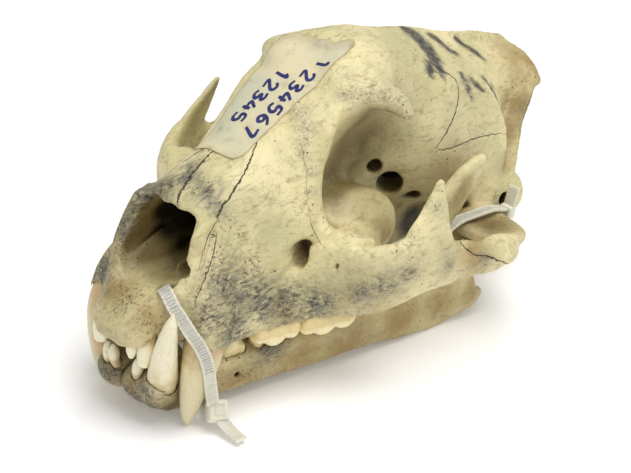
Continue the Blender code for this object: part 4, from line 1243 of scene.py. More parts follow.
@dataclass
class Cranium:
    """The braincase, face, cheek-bone arches and upper jaw, grown together as one bone."""

    voxel: float
    triangle_limit: int = 190000
    # Each pinhole is (x, y, z, radius).
    pinholes: Stops = field(default_factory=lambda: [
        (21.1, 94.0, 75.5, 0.9), (20.4, 92.3, 75.9, 0.5), (19.3, 32.4, 32.1, 0.7),
        (20.7, 27.5, 26.3, 0.6), (14.1, 28.6, 40.9, 0.6), (13.0, 34.6, 43.2, 0.6), (9.3, 46.5, 49.1, 0.6),
        (37.3, 65.5, 28.3, 0.5), (41.5, 64.1, 21.3, 0.7), (16.0, 80.1, 67.5, 0.5),
        (16.6, 78.8, 66.4, 0.5), (16.4, 19.6, 33.0, 0.5), (24.4, 52.9, 33.2, 0.5),
        (14.0, 119.7, 73.1, 0.6), (28.5, 17.1, 6.6, 0.7), (14.9, 97.8, 41.6, 0.8),
    ])
    marks: dict[str, Stops] = field(default_factory=lambda: {
        "grey": [
            (6.5, 33.4, 45.7, 5.4), (-2.5, 34, 46.5, 5.5), (12, 32.4, 43.2, 4), (-7, 39, 47.6, 3.6),
            (-6.8, 28.1, 43.9, 6), (24.5, 27.1, 19.8, 8.1), (24.9, 34.3, 14.6, 9.5),
            (27.5, 18.7, 11.6, 8.1), (27.8, 28.6, 4.1, 9.5), (27.6, 42.9, 8.8, 9.5),
            (31.1, 50.8, 7.0, 8.1), (-21.9, 13.5, 9.7, 10.8), (-18, 20, 30, 10.8), (37, 60, 6, 8.1),
            (-12, 24, 40, 7), (54, 75, 16.5, 5), (57.6, 81, 20.5, 4), (60, 97, 19, 4), (49, 70, 12, 5),
            (61, 118, 13, 4),
        ],
        "rough": [
            (19.2, 86.1, 70.6, 2.5), (21.8, 88.4, 70.8, 3), (25.0, 92.7, 70.5, 3.2),
            (27.4, 97.5, 71.0, 3.2), (30.3, 101.3, 68.8, 3.2), (33.3, 103.9, 63.5, 3),
            (11.3, 73.6, 64.7, 3), (15.3, 71.7, 61.9, 3.2), (17.5, 68.8, 58.0, 3),
            (19.2, 66.8, 54.8, 2.4), (23.3, 67.5, 49.4, 1.8), (25.3, 65.6, 43.2, 1.8),
            (46.0, 71.0, 2.2, 4), (49.5, 71, 9.1, 2.5), (56.5, 96, 40, 3),
        ],
        "tan": [
            (46, 148, 11, 10), (30, 169, 26, 6), (40, 74, 10, 9), (-5.5, 8.3, 11.2, 8),
            (11.2, 6.4, 7.9, 7), (16.6, 200.9, 53.0, 14), (-14, 200, 50, 14), (24, 190, 40, 7),
            (26, 182, 30, 6), (22, 100, 52, 12), (20, 92, 45, 10), (33, 140, 30, 9), (-24, 30, 15, 14),
            (46, 86, 12, 9), (30, 50, 3, 6), (-9, 8, 10, 6), (48, 78, 5, 9), (25, 88, 22, 14),
            (13.5, 26, 36, 3), (15, 21.5, 31.5, 3), (-12, 30, 28, 8), (-12, 20, 22, 8), (61, 112, 18, 9),
            (50, 100, 20, 8),
        ],
        "sallow": [
            (22, 122, 63, 16), (29, 138, 50, 15), (26, 150, 55, 12), (18, 43, 40, 9), (17, 36, 39, 7),
            (22, 50, 33, 8), (61, 95, 26, 8), (55, 76, 21, 9), (48, 68, 17, 8), (58, 86, 24, 8),
            (10, 130, 73, 14), (-53.5, 98, 45, 7),
        ],
        # Painted shade: darker patches in the orbits, the nose, the shelf's dish and other recesses, where
        # shade falls.
        "shade": [
            (-13, 30, 34, 9), (-13, 28, 24, 9), (-12, 23, 17, 7), (-8, 30, 40, 6), (20, 82, 36, 8),
            (28, 100, 62, 6), (18, 100, 36, 8), (47, 147.5, 12, 8), (50, 143, 14, 6), (40, 143, 11, 7),
            (27, 190, 36, 8), (-47, 149, 12, 7), (0, 5, -2, 8),
            *on_both_sides([
                (20, 98, 60, 9), (18, 94, 48, 11), (17, 88, 38, 10), (17, 104, 46, 11), (12, 10, -1, 5),
            ]),
        ],
        # Bone that many small holes pierce.
        "porous": [
            (20.5, 28, 29, 5), (20, 24, 24, 4), (21.5, 20, 17, 4), (18, 34, 38, 4), (25, 40, 22, 6),
            (0, 8, 9, 8), (11, 7, 8, 6), (22, 94, 72, 3), (28, 60, 40, 5), (52, 84, 28, 7),
            (26, 30, 6, 8), (30, 52, 6, 6), (-15, 20, 24, 8),
        ],
        # Painted deep shadow: near black patches in places deep inside, where no light reaches.
        "dark": [
            (0, 50, 29, 14), (0, 64, 30, 16), (0, 80, 33, 15), (0, 42, 20, 9), (0, 44, 37, 9),
            (0, 150, 38, 26), (0, 180, 26, 9), (-13, 42, 34, 11), (-13, 42, 25, 11), (-12, 40, 17, 9),
            (-13, 35, 30, 7), (-13, 36, 22, 7), (6, 38, 38, 8), (-12, 50, 22, 13), (12, 50, 26, 13),
            *on_both_sides([
                (7, 38, 27, 8), (7, 46, 28, 9), (5, 34, 33, 6), (14, 138, 3, 9), (14, 112.6, 34.8, 4.2),
                (14.5, 123, 26.8, 7), (21.6, 128.4, 19.6, 4.6), (33, 167.4, 11.5, 5),
            ]),
        ],
    })
    # Strokes of old ink, faded and rubbed: each stop is (x, y, z, radius).
    smudges: list[Stops] = field(default_factory=lambda: [
        [(1.5, 138.5, 75.4, 3.0), (4.5, 141, 73.6, 4.0), (8.5, 142.9, 70.9, 4.4), (12.5, 143, 68.4, 4.2),
         (16.2, 142.2, 65.4, 3.0), (19, 141, 62.9, 1.6)],
        [(15.5, 137.5, 67, 2.6), (18.2, 135.1, 64.8, 1.9)],
        [(3.4, 151, 70.2, 2.4), (5.4, 154.4, 68.8, 2.7), (8.6, 156.4, 66.6, 2.4), (10.7, 160, 64.4, 1.7)],
        [(2.6, 170, 64.8, 1.8), (4.8, 172.3, 63.2, 2.2), (7, 174.5, 61.6, 2.1), (9.4, 176.4, 59.9, 2.0),
         (12, 178, 58, 1.6)],
        [(19, 153, 60.4, 1.7), (22.6, 152.5, 57.4, 1.9), (26.3, 152.3, 53.8, 1.4)],
        [(20.6, 157.2, 57.6, 1.5), (22.4, 159.6, 55.2, 1.8), (23.8, 161.2, 53.2, 1.4)],
        [(19.2, 167.6, 54.8, 1.5), (21.4, 168.6, 52.2, 1.6), (23.8, 170.8, 48.6, 1.6),
         (25.7, 173, 45.2, 1.4)],
        [(20.6, 172.4, 52, 1.4), (22.8, 175.4, 49.2, 1.5), (24.6, 177.4, 46.4, 1.3)],
    ])
    # Amount, size and place in the noise of each roughening of the surface.
    unevenness: tuple[Point, ...] = ((0.30, 9.0, 3.1), (0.12, 2.6, 7.7))

    def seams(self) -> list[Seam]:
        """The sutures between the bones of the face and braincase, and the crack at the arch's joint."""
        return [
            Seam([(2.1, 25.2, 42.1), (0.5, 28.7, 44.8), (-2.2, 35.4, 46.8), (-4.5, 42.8, 48.9),
                  (-5.6, 49, 50.7)], 1.5, False),
            Seam([(5.7, 58.4, 55.7), (8.4, 52.5, 51.8), (11.8, 44.5, 47.4), (13.9, 34.7, 42.4),
                  (16.5, 26.5, 36.5), (17.2, 21.8, 30.4), (17.6, 20.6, 27.6)], 1.3),
            Seam([(17.4, 28.6, 35.4), (18.7, 26.8, 30.6), (19.4, 25, 26.6), (20, 21.2, 20.7),
                  (20.7, 16.9, 14.5)], 0.7),
            Seam(ARCH_CRACK, 1.3),
            Seam([(9, 139.5, 70), (16, 140.5, 65.5), (21, 148, 59.9), (28, 139.6, 52), (29.6, 134.4, 47.3),
                  (29.5, 130.6, 43.2)], 0.95),
            Seam([(29.9, 130.7, 40.5), (32, 136.8, 40.7), (32.9, 144.3, 41.7), (33.1, 156.5, 40.3),
                  (30.7, 169.7, 36.3)], 0.8),
            Seam([(19.2, 66.8, 54.8), (22.5, 65.5, 46), (26, 63.4, 37), (33, 63, 28), (38, 66, 22),
                  (43, 68, 14)], 0.45),
        ]

    def grow(self, teeth: list[Tooth]) -> Volume:
        """Blend the bone's masses, and cut its openings and sockets.

        Args:
            teeth: The teeth that stand in it.

        Returns:
            The grown volume.
        """
        bone = Volume((0, -8.37, -12.41), (74, 212, 92), self.voxel)
        bone.add(Loft(BODY), 1.0)
        # Canine root swelling and the ridge over the tooth row.
        bone.add(Bar([(23.2, 22.4, 1, 6.6, 8.8), (22.6, 23, 6, 6.1, 8), (21.6, 24.4, 12, 4.8, 6.4),
                      (19, 31, 22, 2.6, 4)]), 3)
        bone.add(Bar([(24.5, 33, 1, 3.5, 3.5), (28.5, 46, 1.5, 4.2, 3.8), (33.2, 62, 1.5, 4.4, 4.2),
                      (37.2, 78, 2, 4.2, 4.2)]), 3)
        # Bone between the fang and the first cheek tooth.
        bone.add(Bar([(23.4, 27, 0.2, 2.6, 2.6), (25.4, 31.5, -0.2, 2.8, 2.8), (27.4, 38, 0.6, 2.6, 2.6),
                      (30, 47, 0, 2.4, 2.2)]), 2)
        # Cheek bone arch.
        bone.add(Bar([(31, 60, 13, 4, 13), (40.6, 67.4, 14, 4.5, 14), (51.2, 75.2, 16.6, 4.5, 13),
                      (57.6, 85.2, 20, 3.8, 11), (60, 95.6, 18.8, 3.2, 9), (60.3, 107, 16.5, 3, 7.5),
                      (61.3, 118, 14, 3, 6), (61.3, 127, 12.8, 3.2, 6.6), (60.4, 135, 11.6, 3.8, 5.6),
                      (58, 141.5, 10.4, 4, 4.6), (54, 146, 9.6, 4.4, 4), (46, 149.5, 9.4, 7, 3),
                      (35, 151, 9.2, 9, 3.4)], side=(1, -0.7, 0), end_side=(0.1, 1, 0.2), steps=3), 3)
        bone.add(Bar([(58, 89.2, 21.5, 3, 12.5), (57.4, 92.8, 30.4, 2.4, 9.2), (55.6, 97, 38.7, 1.8, 5.4),
                      (53.6, 100.4, 46.5, 1.1, 1.7)], side=(1, -0.35, 0)), 2.5)
        # Process behind the brow.
        bone.add(Bar([(12, 92, 72, 8, 6), (22, 98, 69.8, 6.4, 5), (28.6, 102.6, 67, 4.6, 3.6),
                      (32.4, 105, 63.4, 2.4, 2.2)], side=(0, 1, 0)), 4)
        # Front rim of the eye socket.
        bone.add(Bar([(20, 88, 66, 2, 2), (20, 80.5, 63.5, 2, 2), (21.5, 74, 53, 2, 2.4),
                      (24, 69, 40, 2.4, 2.6), (29, 66.5, 31, 3, 3), (36, 70, 26.5, 3.5, 3),
                      (44, 76, 26, 3, 3)]), 4)
        # Back of the upper jaw, which bulges into the socket.
        bone.add(Mass((24, 90, 21.5), (13, 18, 14), (0, 0, -15)), 7)
        bone.add(Mass((35, 78, 16), (10, 12, 12), (0, 0, -30)), 6)
        # Crests at the back.
        bone.add(Bar([(0, 150, 68, 1.6, 3), (0, 170, 63, 1.6, 4), (0, 188, 58.5, 1.8, 4),
                      (0, 201, 55, 2, 3)]), 3)
        bone.add(Bar([(0, 201.5, 54, 2.4, 2.4), (10, 201, 53, 2.8, 2), (18, 199, 50.5, 3, 1.6),
                      (22.6, 196.4, 47.6, 2.8, 1.6)], side=(0, 1, 0.3), steps=3), 3)
        bone.add(Bar([(18.6, 197, 47.6, 5, 1.5), (20.8, 190.5, 42.5, 5.6, 1.5), (22.4, 183.5, 35, 6.4, 1.7),
                      (26, 177, 26, 6.6, 2.2), (30.6, 171, 18, 6.2, 3.4),
                      (34, 167.5, 10, 4, 3)], side=(1, 0.15, 0.2), steps=3), 2.4)
        # Shelf and joint bar over the lower jaw, ear bulla, condyle and the process beside the condyle.
        bone.add(Mass((44, 147, 9.4), (15, 10, 4.2), (0, 0, 12)), 3)
        bone.add(Bar([(30, 155, 5, 4, 3.5), (42, 156, 4.5, 3.6, 5),
                      (53, 152, 7, 3.2, 3)], side=(0, 1, 0)), 3)
        bone.add(Mass((20, 163, 6), (10, 17, 10), (0, 0, 12)), 2)
        bone.add(Mass((30.5, 162, 14), (6, 10, 8)), 3)
        bone.add(Mass((28.6, 178, 8), (7, 8, 9)), 3)
        bone.add(Mass((11, 194, 17), (6.5, 6, 9), (-20, 0, 20)), 2)
        bone.add(Bar([(27, 176, 14, 4, 4), (28, 180, 5, 2.5, 3)]), 3)
        # Wings beside the inner nostrils.
        bone.add(Bar([(13, 92, 12, 2.4, 6), (13, 106, 9, 2, 8), (13.5, 122, 5.5, 1.8, 9.5),
                      (14, 136, 4, 1.5, 9), (14.5, 146, 4, 1.3, 6.5), (15, 151, 4, 1.1, 3)]), 3)
        # Dish in the shelf.
        bone.cut(Mass((46.5, 148, 20.6), (14.5, 15, 10), (0, 0, 12)), 3)
        # Nose, inner nostrils, brain cavity and the other openings.
        bone.cut(Bar([(0, 8, 27.5, 13.5, 14), (0, 18, 27, 13.5, 13.8), (0, 26, 26.5, 13.5, 14),
                      (0, 40, 28, 13, 14), (0, 60, 30, 12, 14), (0, 80, 33, 10, 12)], steps=3), 1.5)
        bone.cut(Bar([(0, 8, 21, 12.5, 8.5), (0, 16, 21, 14.2, 8.5), (0, 24, 22, 14.6, 8.5),
                      (0, 36, 23, 13, 8)]), 1.2)
        bone.cut(Mass((7.5, 22, 34), (6, 9, 7)), 1.5)
        # Tongue of the nasal bone that hangs over the edge of the opening.
        bone.add(Bar([(13.5, 29, 39, 3, 1.6), (14.6, 23, 36, 2.6, 1.4), (15.6, 20, 31, 1.8, 1.1),
                      (16, 19, 28.4, 1, 0.9)], side=(-0.3, 1, 0.4)), 1)
        bone.cut(Bar([(0, 86, 18, 7, 5), (0, 105, 7, 7.5, 7), (0, 130, 3, 8, 6)]), 2)
        bone.cut(Mass((0, 150, 38), (26, 33, 22), (4, 0, 0)), 2)
        bone.cut(Bar([(0, 170, 28, 10, 9), (0, 208, 20, 9.5, 8)]), 2)
        bone.cut(Mass((0, 212, 36), (26, 14, 12)), 3)
        bone.cut(Bar([(30.4, 48, 21, 3, 4), (29.5, 58, 22.3, 3.2, 4.8), (27.4, 64.5, 24, 2.2, 3.2)]), 2.2)
        # Thin curled bones in the nose, and the low ridge along its floor.
        bone.add(Bar([(11.5, 20, 15.5, 1.4, 3), (10.2, 32, 19.5, 1.1, 4.4),
                      (10.5, 46, 23.5, 1.1, 5)], side=(1, 0, -0.6)), 1)
        bone.add(Bar([(0, 30, 13.5, 0.9, 3), (0, 48, 15.5, 0.9, 6),
                      (0, 70, 20, 0.9, 8)], side=(1, 0, 0)), 1)
        bone.add(Bar([(12.5, 38, 33, 1.2, 2), (7.5, 46, 31, 1, 4.5),
                      (6, 60, 31, 1, 6)], side=(1, 0, 0.5)), 1)
        bone.cut(Bar([(18.6, 106.4, 33.6, 2.5, 3.1), (9, 122, 36, 2.6, 2.6)]), 1)
        bone.cut(Bar([(21, 114.4, 25.4, 4.8, 5.8), (9, 131, 28, 4.6, 5)]), 1)
        bone.cut(Bar([(27, 121.6, 17.4, 2.4, 2.8), (18, 134, 21, 2.4, 2.6)]), 1)
        bone.cut(Bar([(42, 166.4, 13, 2.4, 2.6), (26, 168.4, 10, 2.4, 2.6)]), 1)
        # Rounded rim beside the opening of the nose.
        bone.add(Bar([(12.5, 14, 12.4, 1.8, 1.8), (15.8, 16.2, 17, 1.9, 2.1), (17, 18.8, 24, 1.8, 2.1),
                      (16.2, 21.6, 31, 1.7, 1.9), (14.2, 25, 38, 1.6, 1.8)]), 2)
        bone.unfold()
        # Slot that the front tie goes down through.
        bone.cut(Bar([(5.8, 20, 15.5, 2.2, 3.9), (4.6, 16, -4, 1.9, 3.6)]), 0.8)
        # Gap below the tip of the left nasal bone.
        bone.cut(Mass((14.4, 19.4, 24.2), (3.2, 7, 2.6)), 0.6)
        for x, y, z, radius in self.pinholes:
            bone.cut(Mass((x, y, z), (radius, radius, radius * 2.2)), 0.2)
        for tooth in teeth:
            if tooth.name.startswith(("upper", "lower_canine")):
                tooth.socket(bone)
        return bone

    def lap_joint(self, piece: bpy.types.Object) -> None:
        """Raise the bone above the crack in each cheek arch, so that it laps over the bone below."""
        places, normals = vertex_places(piece), vertex_normals(piece)
        crack = spline(ARCH_CRACK, 8)
        aside = np.abs(places[:, 0])
        flat = np.column_stack([aside, places[:, 1], places[:, 2]])
        below = np.interp(places[:, 1], crack[:, 1], crack[:, 2])
        away = np.min(np.linalg.norm(flat[:, None] - crack[None, ::4], axis=2), axis=1)
        above = places[:, 2] - below
        lift = np.clip((above + 0.3) / 0.8, 0, 1) * np.clip(1.4 - above / 6.0, 0, 1)
        lift = lift * np.clip(2.0 - away / 5.0, 0, 1)
        outward = (normals[:, 0] * np.sign(places[:, 0]) > 0.1) & (aside > 50)
        move_vertices(piece, places + normals * (lift * 0.9 * outward)[:, None])

    def roughen_crusts(self, piece: bpy.types.Object) -> None:
        """Break up the spongy bone over the brow and beside the sockets."""
        places, normals = vertex_places(piece), vertex_normals(piece)
        share = patches(places, self.marks["rough"])
        for i in np.nonzero(share > 0.2)[0]:
            bumpy = noise.fractal(Vector(places[i]) / 1.5, 0.7, 2.0, 3)
            places[i] += normals[i] * share[i] * bumpy
        move_vertices(piece, places)

    def build(self, teeth: list[Tooth], finish: bpy.types.Material) -> bpy.types.Object:
        """Grow the bone and dress it.

        Args:
            teeth: The teeth that stand in it.
            finish: The bone's material.

        Returns:
            The bone, still in the skull's frame, so that the label can be laid on it.
        """
        grown = self.grow(teeth)
        piece = grown.mesh("cranium_bone", self.triangle_limit)
        for row in self.unevenness:
            roughen(piece, *row)
        self.lap_joint(piece)
        self.roughen_crusts(piece)
        strokes = [tuple(row) for line in self.smudges for row in spline(line, 5)]
        dress_bone(piece, grown, finish, {**self.marks, "ink": strokes}, self.seams())
        return piece


# The swelling round the fang's root: less on the right, where the fang leans inwards.
ROOT_SWELLING = {
    Side.LEFT: [(14.4, 9.4, -15.6, 5.2, 6), (13.2, 12.4, -22, 4.8, 6)],
    Side.RIGHT: [(11.4, 12.6, -19.5, 3.8, 4.4), (11.2, 15.5, -25, 4.2, 5)],
}


@dataclass
class Mandible:
    """One half of the lower jaw, with its sockets."""

    side: Side
    voxel: float
    cleft: float = 0.8
    triangle_limit: int = 110000
    unevenness: tuple[Point, ...] = ((0.22, 8.0, 5.3), (0.10, 2.4, 1.9))
    marks: dict[str, Stops] = field(default_factory=lambda: {
        "grey": [
            (13, 5, -19, 6), (-2, 3, -17, 5), (-5, 3, -20, 5), (9, 5, -24, 6), (13, 7, -25, 6),
            (26, 50, -12, 7), (-10, 6, -20, 6), (4, 4, -24, 5),
        ],
        # Painted shade in the recesses at the chin and along the tooth row.
        "shade": [(14, 16, -28, 7), (24, 50, -10, 6), (30, 75, -8, 6), (6, 8, -12, 6), (-8, 9, -13, 6)],
        "porous": [(8, 6, -22, 7), (-6, 6, -20, 7), (22, 44, -20, 8)],
        "tan": [
            (43, 124, -15, 13), (46, 130, 20, 10), (14, 12, -24, 8), (-14, 12, -22, 8), (43, 140, -16, 8),
            (44, 126, 30, 8),
            *on_both_sides([
                (30, 63, -20, 16), (35, 84, -20, 15), (40, 106, -18, 14), (20, 40, -24, 14),
                (5, 6, -20, 9),
            ]),
        ],
    })

    def grow(self, teeth: list[Tooth]) -> Volume:
        """Blend the bone's masses, and cut its sockets.

        Args:
            teeth: The teeth that stand in it.

        Returns:
            The grown volume.
        """
        bone = Volume((-2, -8.37, -46.41), (70, 160, 52), self.voxel)
        bone.add(Bar([(5.5, 9, -18, 4.4, 5.6), (11.3, 18.5, -21.6, 5.2, 10.6), (17, 35, -19.5, 5.6, 10),
                      (23, 55, -18.5, 5.2, 9.6), (28, 75, -17.5, 4.8, 10.2), (33, 96, -16.2, 4.4, 10.2),
                      (38, 116, -16.5, 3.8, 11), (41.5, 132, -16, 3, 10),
                      (43, 142, -16, 2.6, 7)], steps=3), 2)
        bone.add(Bar([(16, 27, -14, 4, 3.6), (20.5, 36, -13.8, 4.6, 4), (24, 51, -13.5, 4.6, 4),
                      (28, 69, -13, 4.6, 4), (31, 84, -13, 4, 4)]), 2)
        # Blade for the chewing muscle, and its thick front edge.
        bone.add(Bar([(36, 106, -8, 3, 12), (39.5, 113.5, 6, 2.6, 11.5), (42.3, 119.5, 19, 2, 6.2),
                      (44, 127.4, 31, 1.6, 6), (44.6, 135.2, 39.4, 1.3, 3.4)]), 3)
        bone.add(Bar([(36, 97, -8, 3.2, 4), (39.5, 105, 8, 3, 3.4), (42.5, 113, 25, 2.4, 2.8),
                      (44, 124, 37, 2, 2.2), (44.6, 136, 41.5, 1.6, 1.8)]), 3)
        bone.add(Bar([(41, 126, -2, 2.8, 11), (43, 138, -2, 3, 6), (44, 146, 0, 3.6, 4)]), 4)
        # Joint roller and the hooked corner.
        bone.add(Bar([(31, 148, -0.5, 3.2, 3), (43, 147.5, 0, 3.8, 3.8),
                      (54, 145, 1.5, 3.2, 3)], side=(0, 1, 0)), 3)
        bone.add(Bar([(42.5, 136, -16, 2.6, 5), (43.5, 142, -19, 2.6, 3.6), (43.8, 146.5, -18, 2, 2)]), 3)
        # Chin, and the swelling round the canine's root.
        bone.add(Mass((6, 11, -20.5), (8.4, 7.4, 6.4)), 3)
        bone.add(Bar(ROOT_SWELLING[self.side]), 3)
        # Hollow of the chewing muscle behind the front ridge, and the nerve's hole below the teeth.
        bone.cut(Bar([(47.6, 128.6, 34, 3.2, 3.6), (48, 122.6, 20, 4.2, 6.4),
                      (46, 118.5, 5, 4, 8)], side=(1, -0.3, 0)), 1.6)
        bone.cut(Bar([(20, 38.9, -20.7, 1.2, 1), (26, 37.6, -20.2, 1.2, 1)]), 0.5)
        bone.values = np.maximum(bone.values, self.cleft / 2 - bone.axes[0][:, None, None])
        if self.side is Side.RIGHT:
            bone.values = bone.values[::-1]
            bone.axes[0] = -bone.axes[0][::-1]
            bone.low[0] = bone.axes[0][0]
        for tooth in teeth:
            if tooth.name.startswith("lower") and tooth.name.endswith(self.side.word):
                tooth.socket(bone)
        return bone

    def build(self, teeth: list[Tooth], finish: bpy.types.Material) -> bpy.types.Object:
        """Grow the bone and dress it.

        Args:
            teeth: The teeth that stand in it.
            finish: The bone's material.

        Returns:
            The jaw half, placed and riding.
        """
        grown = self.grow(teeth)
        name = f"mandible_{self.side.word}"
        piece = grown.mesh(f"{name}_bone", self.triangle_limit)
        for row in self.unevenness:
            roughen(piece, *row)
        dress_bone(piece, grown, finish, self.marks, [])
        finish_piece(piece, Slot.BONE, name)
        return piece


@dataclass
class CableTie:
    """A nylon cable tie: a ribbed strap, the head that locks it, and its cut-off tail.

    Each station of a route is (x, y, z, and the direction of the strap's width).
    """

    name: str
    route: Stops
    head: tuple[Point, Point, Point]
    head_size: Point
    tail: Stops
    width: float = 4.5
    thickness: float = 1.1
    rib_pitch: float = 1.15
    rib_from: float = 0.1

    def stations(self, rows: Stops, middle: np.ndarray, steps: int = 3) -> list[tuple[np.ndarray, ...]]:
        """Places along a strap with its directions.

        Args:
            rows: The route's rows.
            middle: A point that the strap's outer face looks away from.
            steps: How many steps lie between two rows.

        Returns:
            For each station its place, and the directions along, across and outwards.
        """
        fine = spline(rows, steps)
        found = []
        for i, row in enumerate(fine):
            along = fine[min(i + 1, len(fine) - 1), :3] - fine[max(i - 1, 0), :3]
            along /= np.linalg.norm(along)
            across = row[3:] - along * (row[3:] @ along)
            across /= np.linalg.norm(across)
            out = np.cross(along, across)
            if out @ (row[:3] - middle) < 0:
                across, out = -across, -out
            found.append((row[:3], along, across, out))
        return found

    def sweep(self, work: bmesh.types.BMesh, stations: list[tuple[np.ndarray, ...]]) -> None:
        """Extrude the strap's section, with its raised edges, from station to station."""
        half, thick = self.width / 2, self.thickness / 2
        # Flat inside, and outside a channel for the ribs between two raised edges.
        section = [
            (-half, -thick * 0.7), (-half + 0.3, -thick), (half - 0.3, -thick), (half, -thick * 0.7),
            (half, thick * 0.7), (half - 0.25, thick), (half - 0.9, thick), (half - 1.05, thick * 0.68),
            (-half + 1.05, thick * 0.68), (-half + 0.9, thick), (-half + 0.25, thick), (-half, thick * 0.7),
        ]
        rings = [
            [Vector(place + across * s + out * u) for s, u in section]
            for place, _, across, out in stations
        ]
        front = work.faces.new([work.verts.new(point) for point in rings[0]])
        for ring in rings[1:]:
            before = [vert.co.copy() for vert in front.verts]
            made = bmesh.ops.extrude_face_region(work, geom=[front])
            front = next(item for item in made["geom"] if isinstance(item, bmesh.types.BMFace))
            for vert in front.verts:
                vert.index = min(range(len(before)), key=lambda k: (before[k] - vert.co).length_squared)
            for vert in front.verts:
                vert.co = ring[vert.index]

    def add_ribs(self, work: bmesh.types.BMesh, stations: list[tuple[np.ndarray, ...]]) -> None:
        """Set a rib across the strap's outer face at every pitch."""
        places = np.array([station[0] for station in stations])
        lengths = np.concatenate([[0], np.cumsum(np.linalg.norm(np.diff(places, axis=0), axis=1))])
        for mark in np.arange(lengths[-1] * self.rib_from, lengths[-1], self.rib_pitch):
            i = int(np.clip(np.searchsorted(lengths, mark), 1, len(stations) - 1))
            share = (mark - lengths[i - 1]) / max(lengths[i] - lengths[i - 1], 1e-6)
            place = places[i - 1] * (1 - share) + places[i] * share
            _, along, across, out = stations[i]
            turn = Matrix(np.column_stack([across, along, out]).tolist()).to_4x4()
            size = Matrix.Diagonal((self.width - 2.0, self.rib_pitch * 0.5, 0.45, 1))
            middle = Matrix.Translation((place + out * self.thickness * 0.35).tolist())
            bmesh.ops.create_cube(work, size=1, matrix=middle @ turn @ size)

    def add_head(self, work: bmesh.types.BMesh) -> None:
        """Set the locking head: a rounded block with a window where the strap goes through."""
        centre, along, side = (np.array(row, float) for row in self.head)
        along /= np.linalg.norm(along)
        side -= along * (side @ along)
        side /= np.linalg.norm(side)
        block = bmesh.ops.create_cube(work, size=1)
        edges = list({edge for vert in block["verts"] for edge in vert.link_edges})
        bmesh.ops.scale(work, vec=self.head_size, verts=block["verts"])
        rounded = bmesh.ops.bevel(
            work, geom=edges, offset=min(self.head_size) * 0.3, segments=4, profile=0.5,
            affect="EDGES", material=-1,
        )
        verts = list({vert for face in rounded["faces"] for vert in face.verts})
        broad = [f for v in verts for f in v.link_faces if abs(f.normal.z) > 0.99 and len(f.verts) == 4]
        for face in sorted(set(broad), key=lambda f: -f.calc_area())[:2]:
            inner = bmesh.ops.inset_individual(work, faces=[face], thickness=0.9, depth=-0.7)
            verts += [vert for made in inner["faces"] for vert in made.verts]
            verts += list(face.verts)
        turn = Matrix(np.column_stack([side, along, np.cross(side, along)]).tolist()).to_4x4()
        place = Matrix.Translation(centre.tolist()) @ turn
        bmesh.ops.transform(work, matrix=place, verts=list(set(verts)))

    def build(self, finish: bpy.types.Material) -> bpy.types.Object:
        """Make the tie and dress it.

        Args:
            finish: Its nylon.

        Returns:
            The tie, placed and riding.
        """
        work = bmesh.new()
        middle = np.mean([row[:3] for row in self.route], axis=0)
        loop = self.stations(self.route, middle)
        self.sweep(work, loop)
        self.add_ribs(work, loop)
        self.sweep(work, self.stations(self.tail, middle))
        self.add_head(work)
        bmesh.ops.recalc_face_normals(work, faces=work.faces)
        piece = worked_piece(work, f"{self.name}_nylon", finish)
        finish_piece(piece, Slot.NYLON, self.name)
        return piece


TIES = [
    CableTie(
        "front_tie",
        [
            (28.6, 21.2, -22.5, 0.3, 0.95, 0.1), (29.2, 18.8, -14.6, 0.32, 0.95, 0),
            (29, 16.6, -5, 0.38, 0.92, 0.1), (28, 13.9, 2, 0.42, 0.86, 0.28),
            (25.2, 12.2, 6.2, 0.42, 0.8, 0.42), (22, 11.5, 9.7, 0.42, 0.78, 0.47),
            (17.6, 10.8, 13.8, 0.4, 0.77, 0.5), (12.6, 12, 16.9, 0.36, 0.78, 0.52),
            (8.4, 14.6, 15.6, 0.29, 0.87, 0.39), (6.4, 17.4, 13.6, 0.1, 0.98, 0.2),
            (4.01, 18.35, 9.03, 0, 1, 0), (4.2, 18, -2, 0, 1, 0), (5.2, 24, -12, 0, 0.98, 0.2),
            (7.34, 29.71, -21.01, 0, 1, 0), (10.79, 31.84, -29.93, 0, 1, 0),
            (16.26, 30.74, -32.35, 0.1, 1, 0), (21, 28, -30.9, 0.32, 0.95, 0),
            (25.6, 25.4, -29.3, 0.4, 0.91, 0.1),
        ],
        ((28.8, 23.4, -26.4), (-0.5, 0.3, 0.8), (0.35, 0.93, 0)), (7.4, 7.8, 5),
        [(*place, 0.41, 0.91, -0.09) for place in (
            (29.3, 23.4, -27), (33, 22.8, -29), (37.5, 22.8, -30.6), (41.8, 22.8, -31.2),
        )],
        rib_from=0.12,
    ),
    CableTie(
        "rear_tie",
        [(*place, 1, 0, 0) for place in (
            (40.6, 161.6, 11.2), (40.36, 152.88, 13.68), (39.38, 143.98, 13.79), (38, 136, 13.2),
            (36.6, 129.8, 9), (34.94, 128.31, 1.53), (36, 133, -4.8), (36, 145, -6.8), (36.8, 156, -4.6),
            (38.8, 161.4, 1.6), (40, 162, 6.6),
        )],
        ((41.4, 163, 10), (0, 0.1, 1), (1, 0, 0)), (5.6, 5.2, 4),
        [(*place, 1, 0, 0) for place in (
            (41.4, 163.4, 10.4), (41.4, 164.4, 15), (41.4, 165.6, 19.4),
        )],
    ),
]


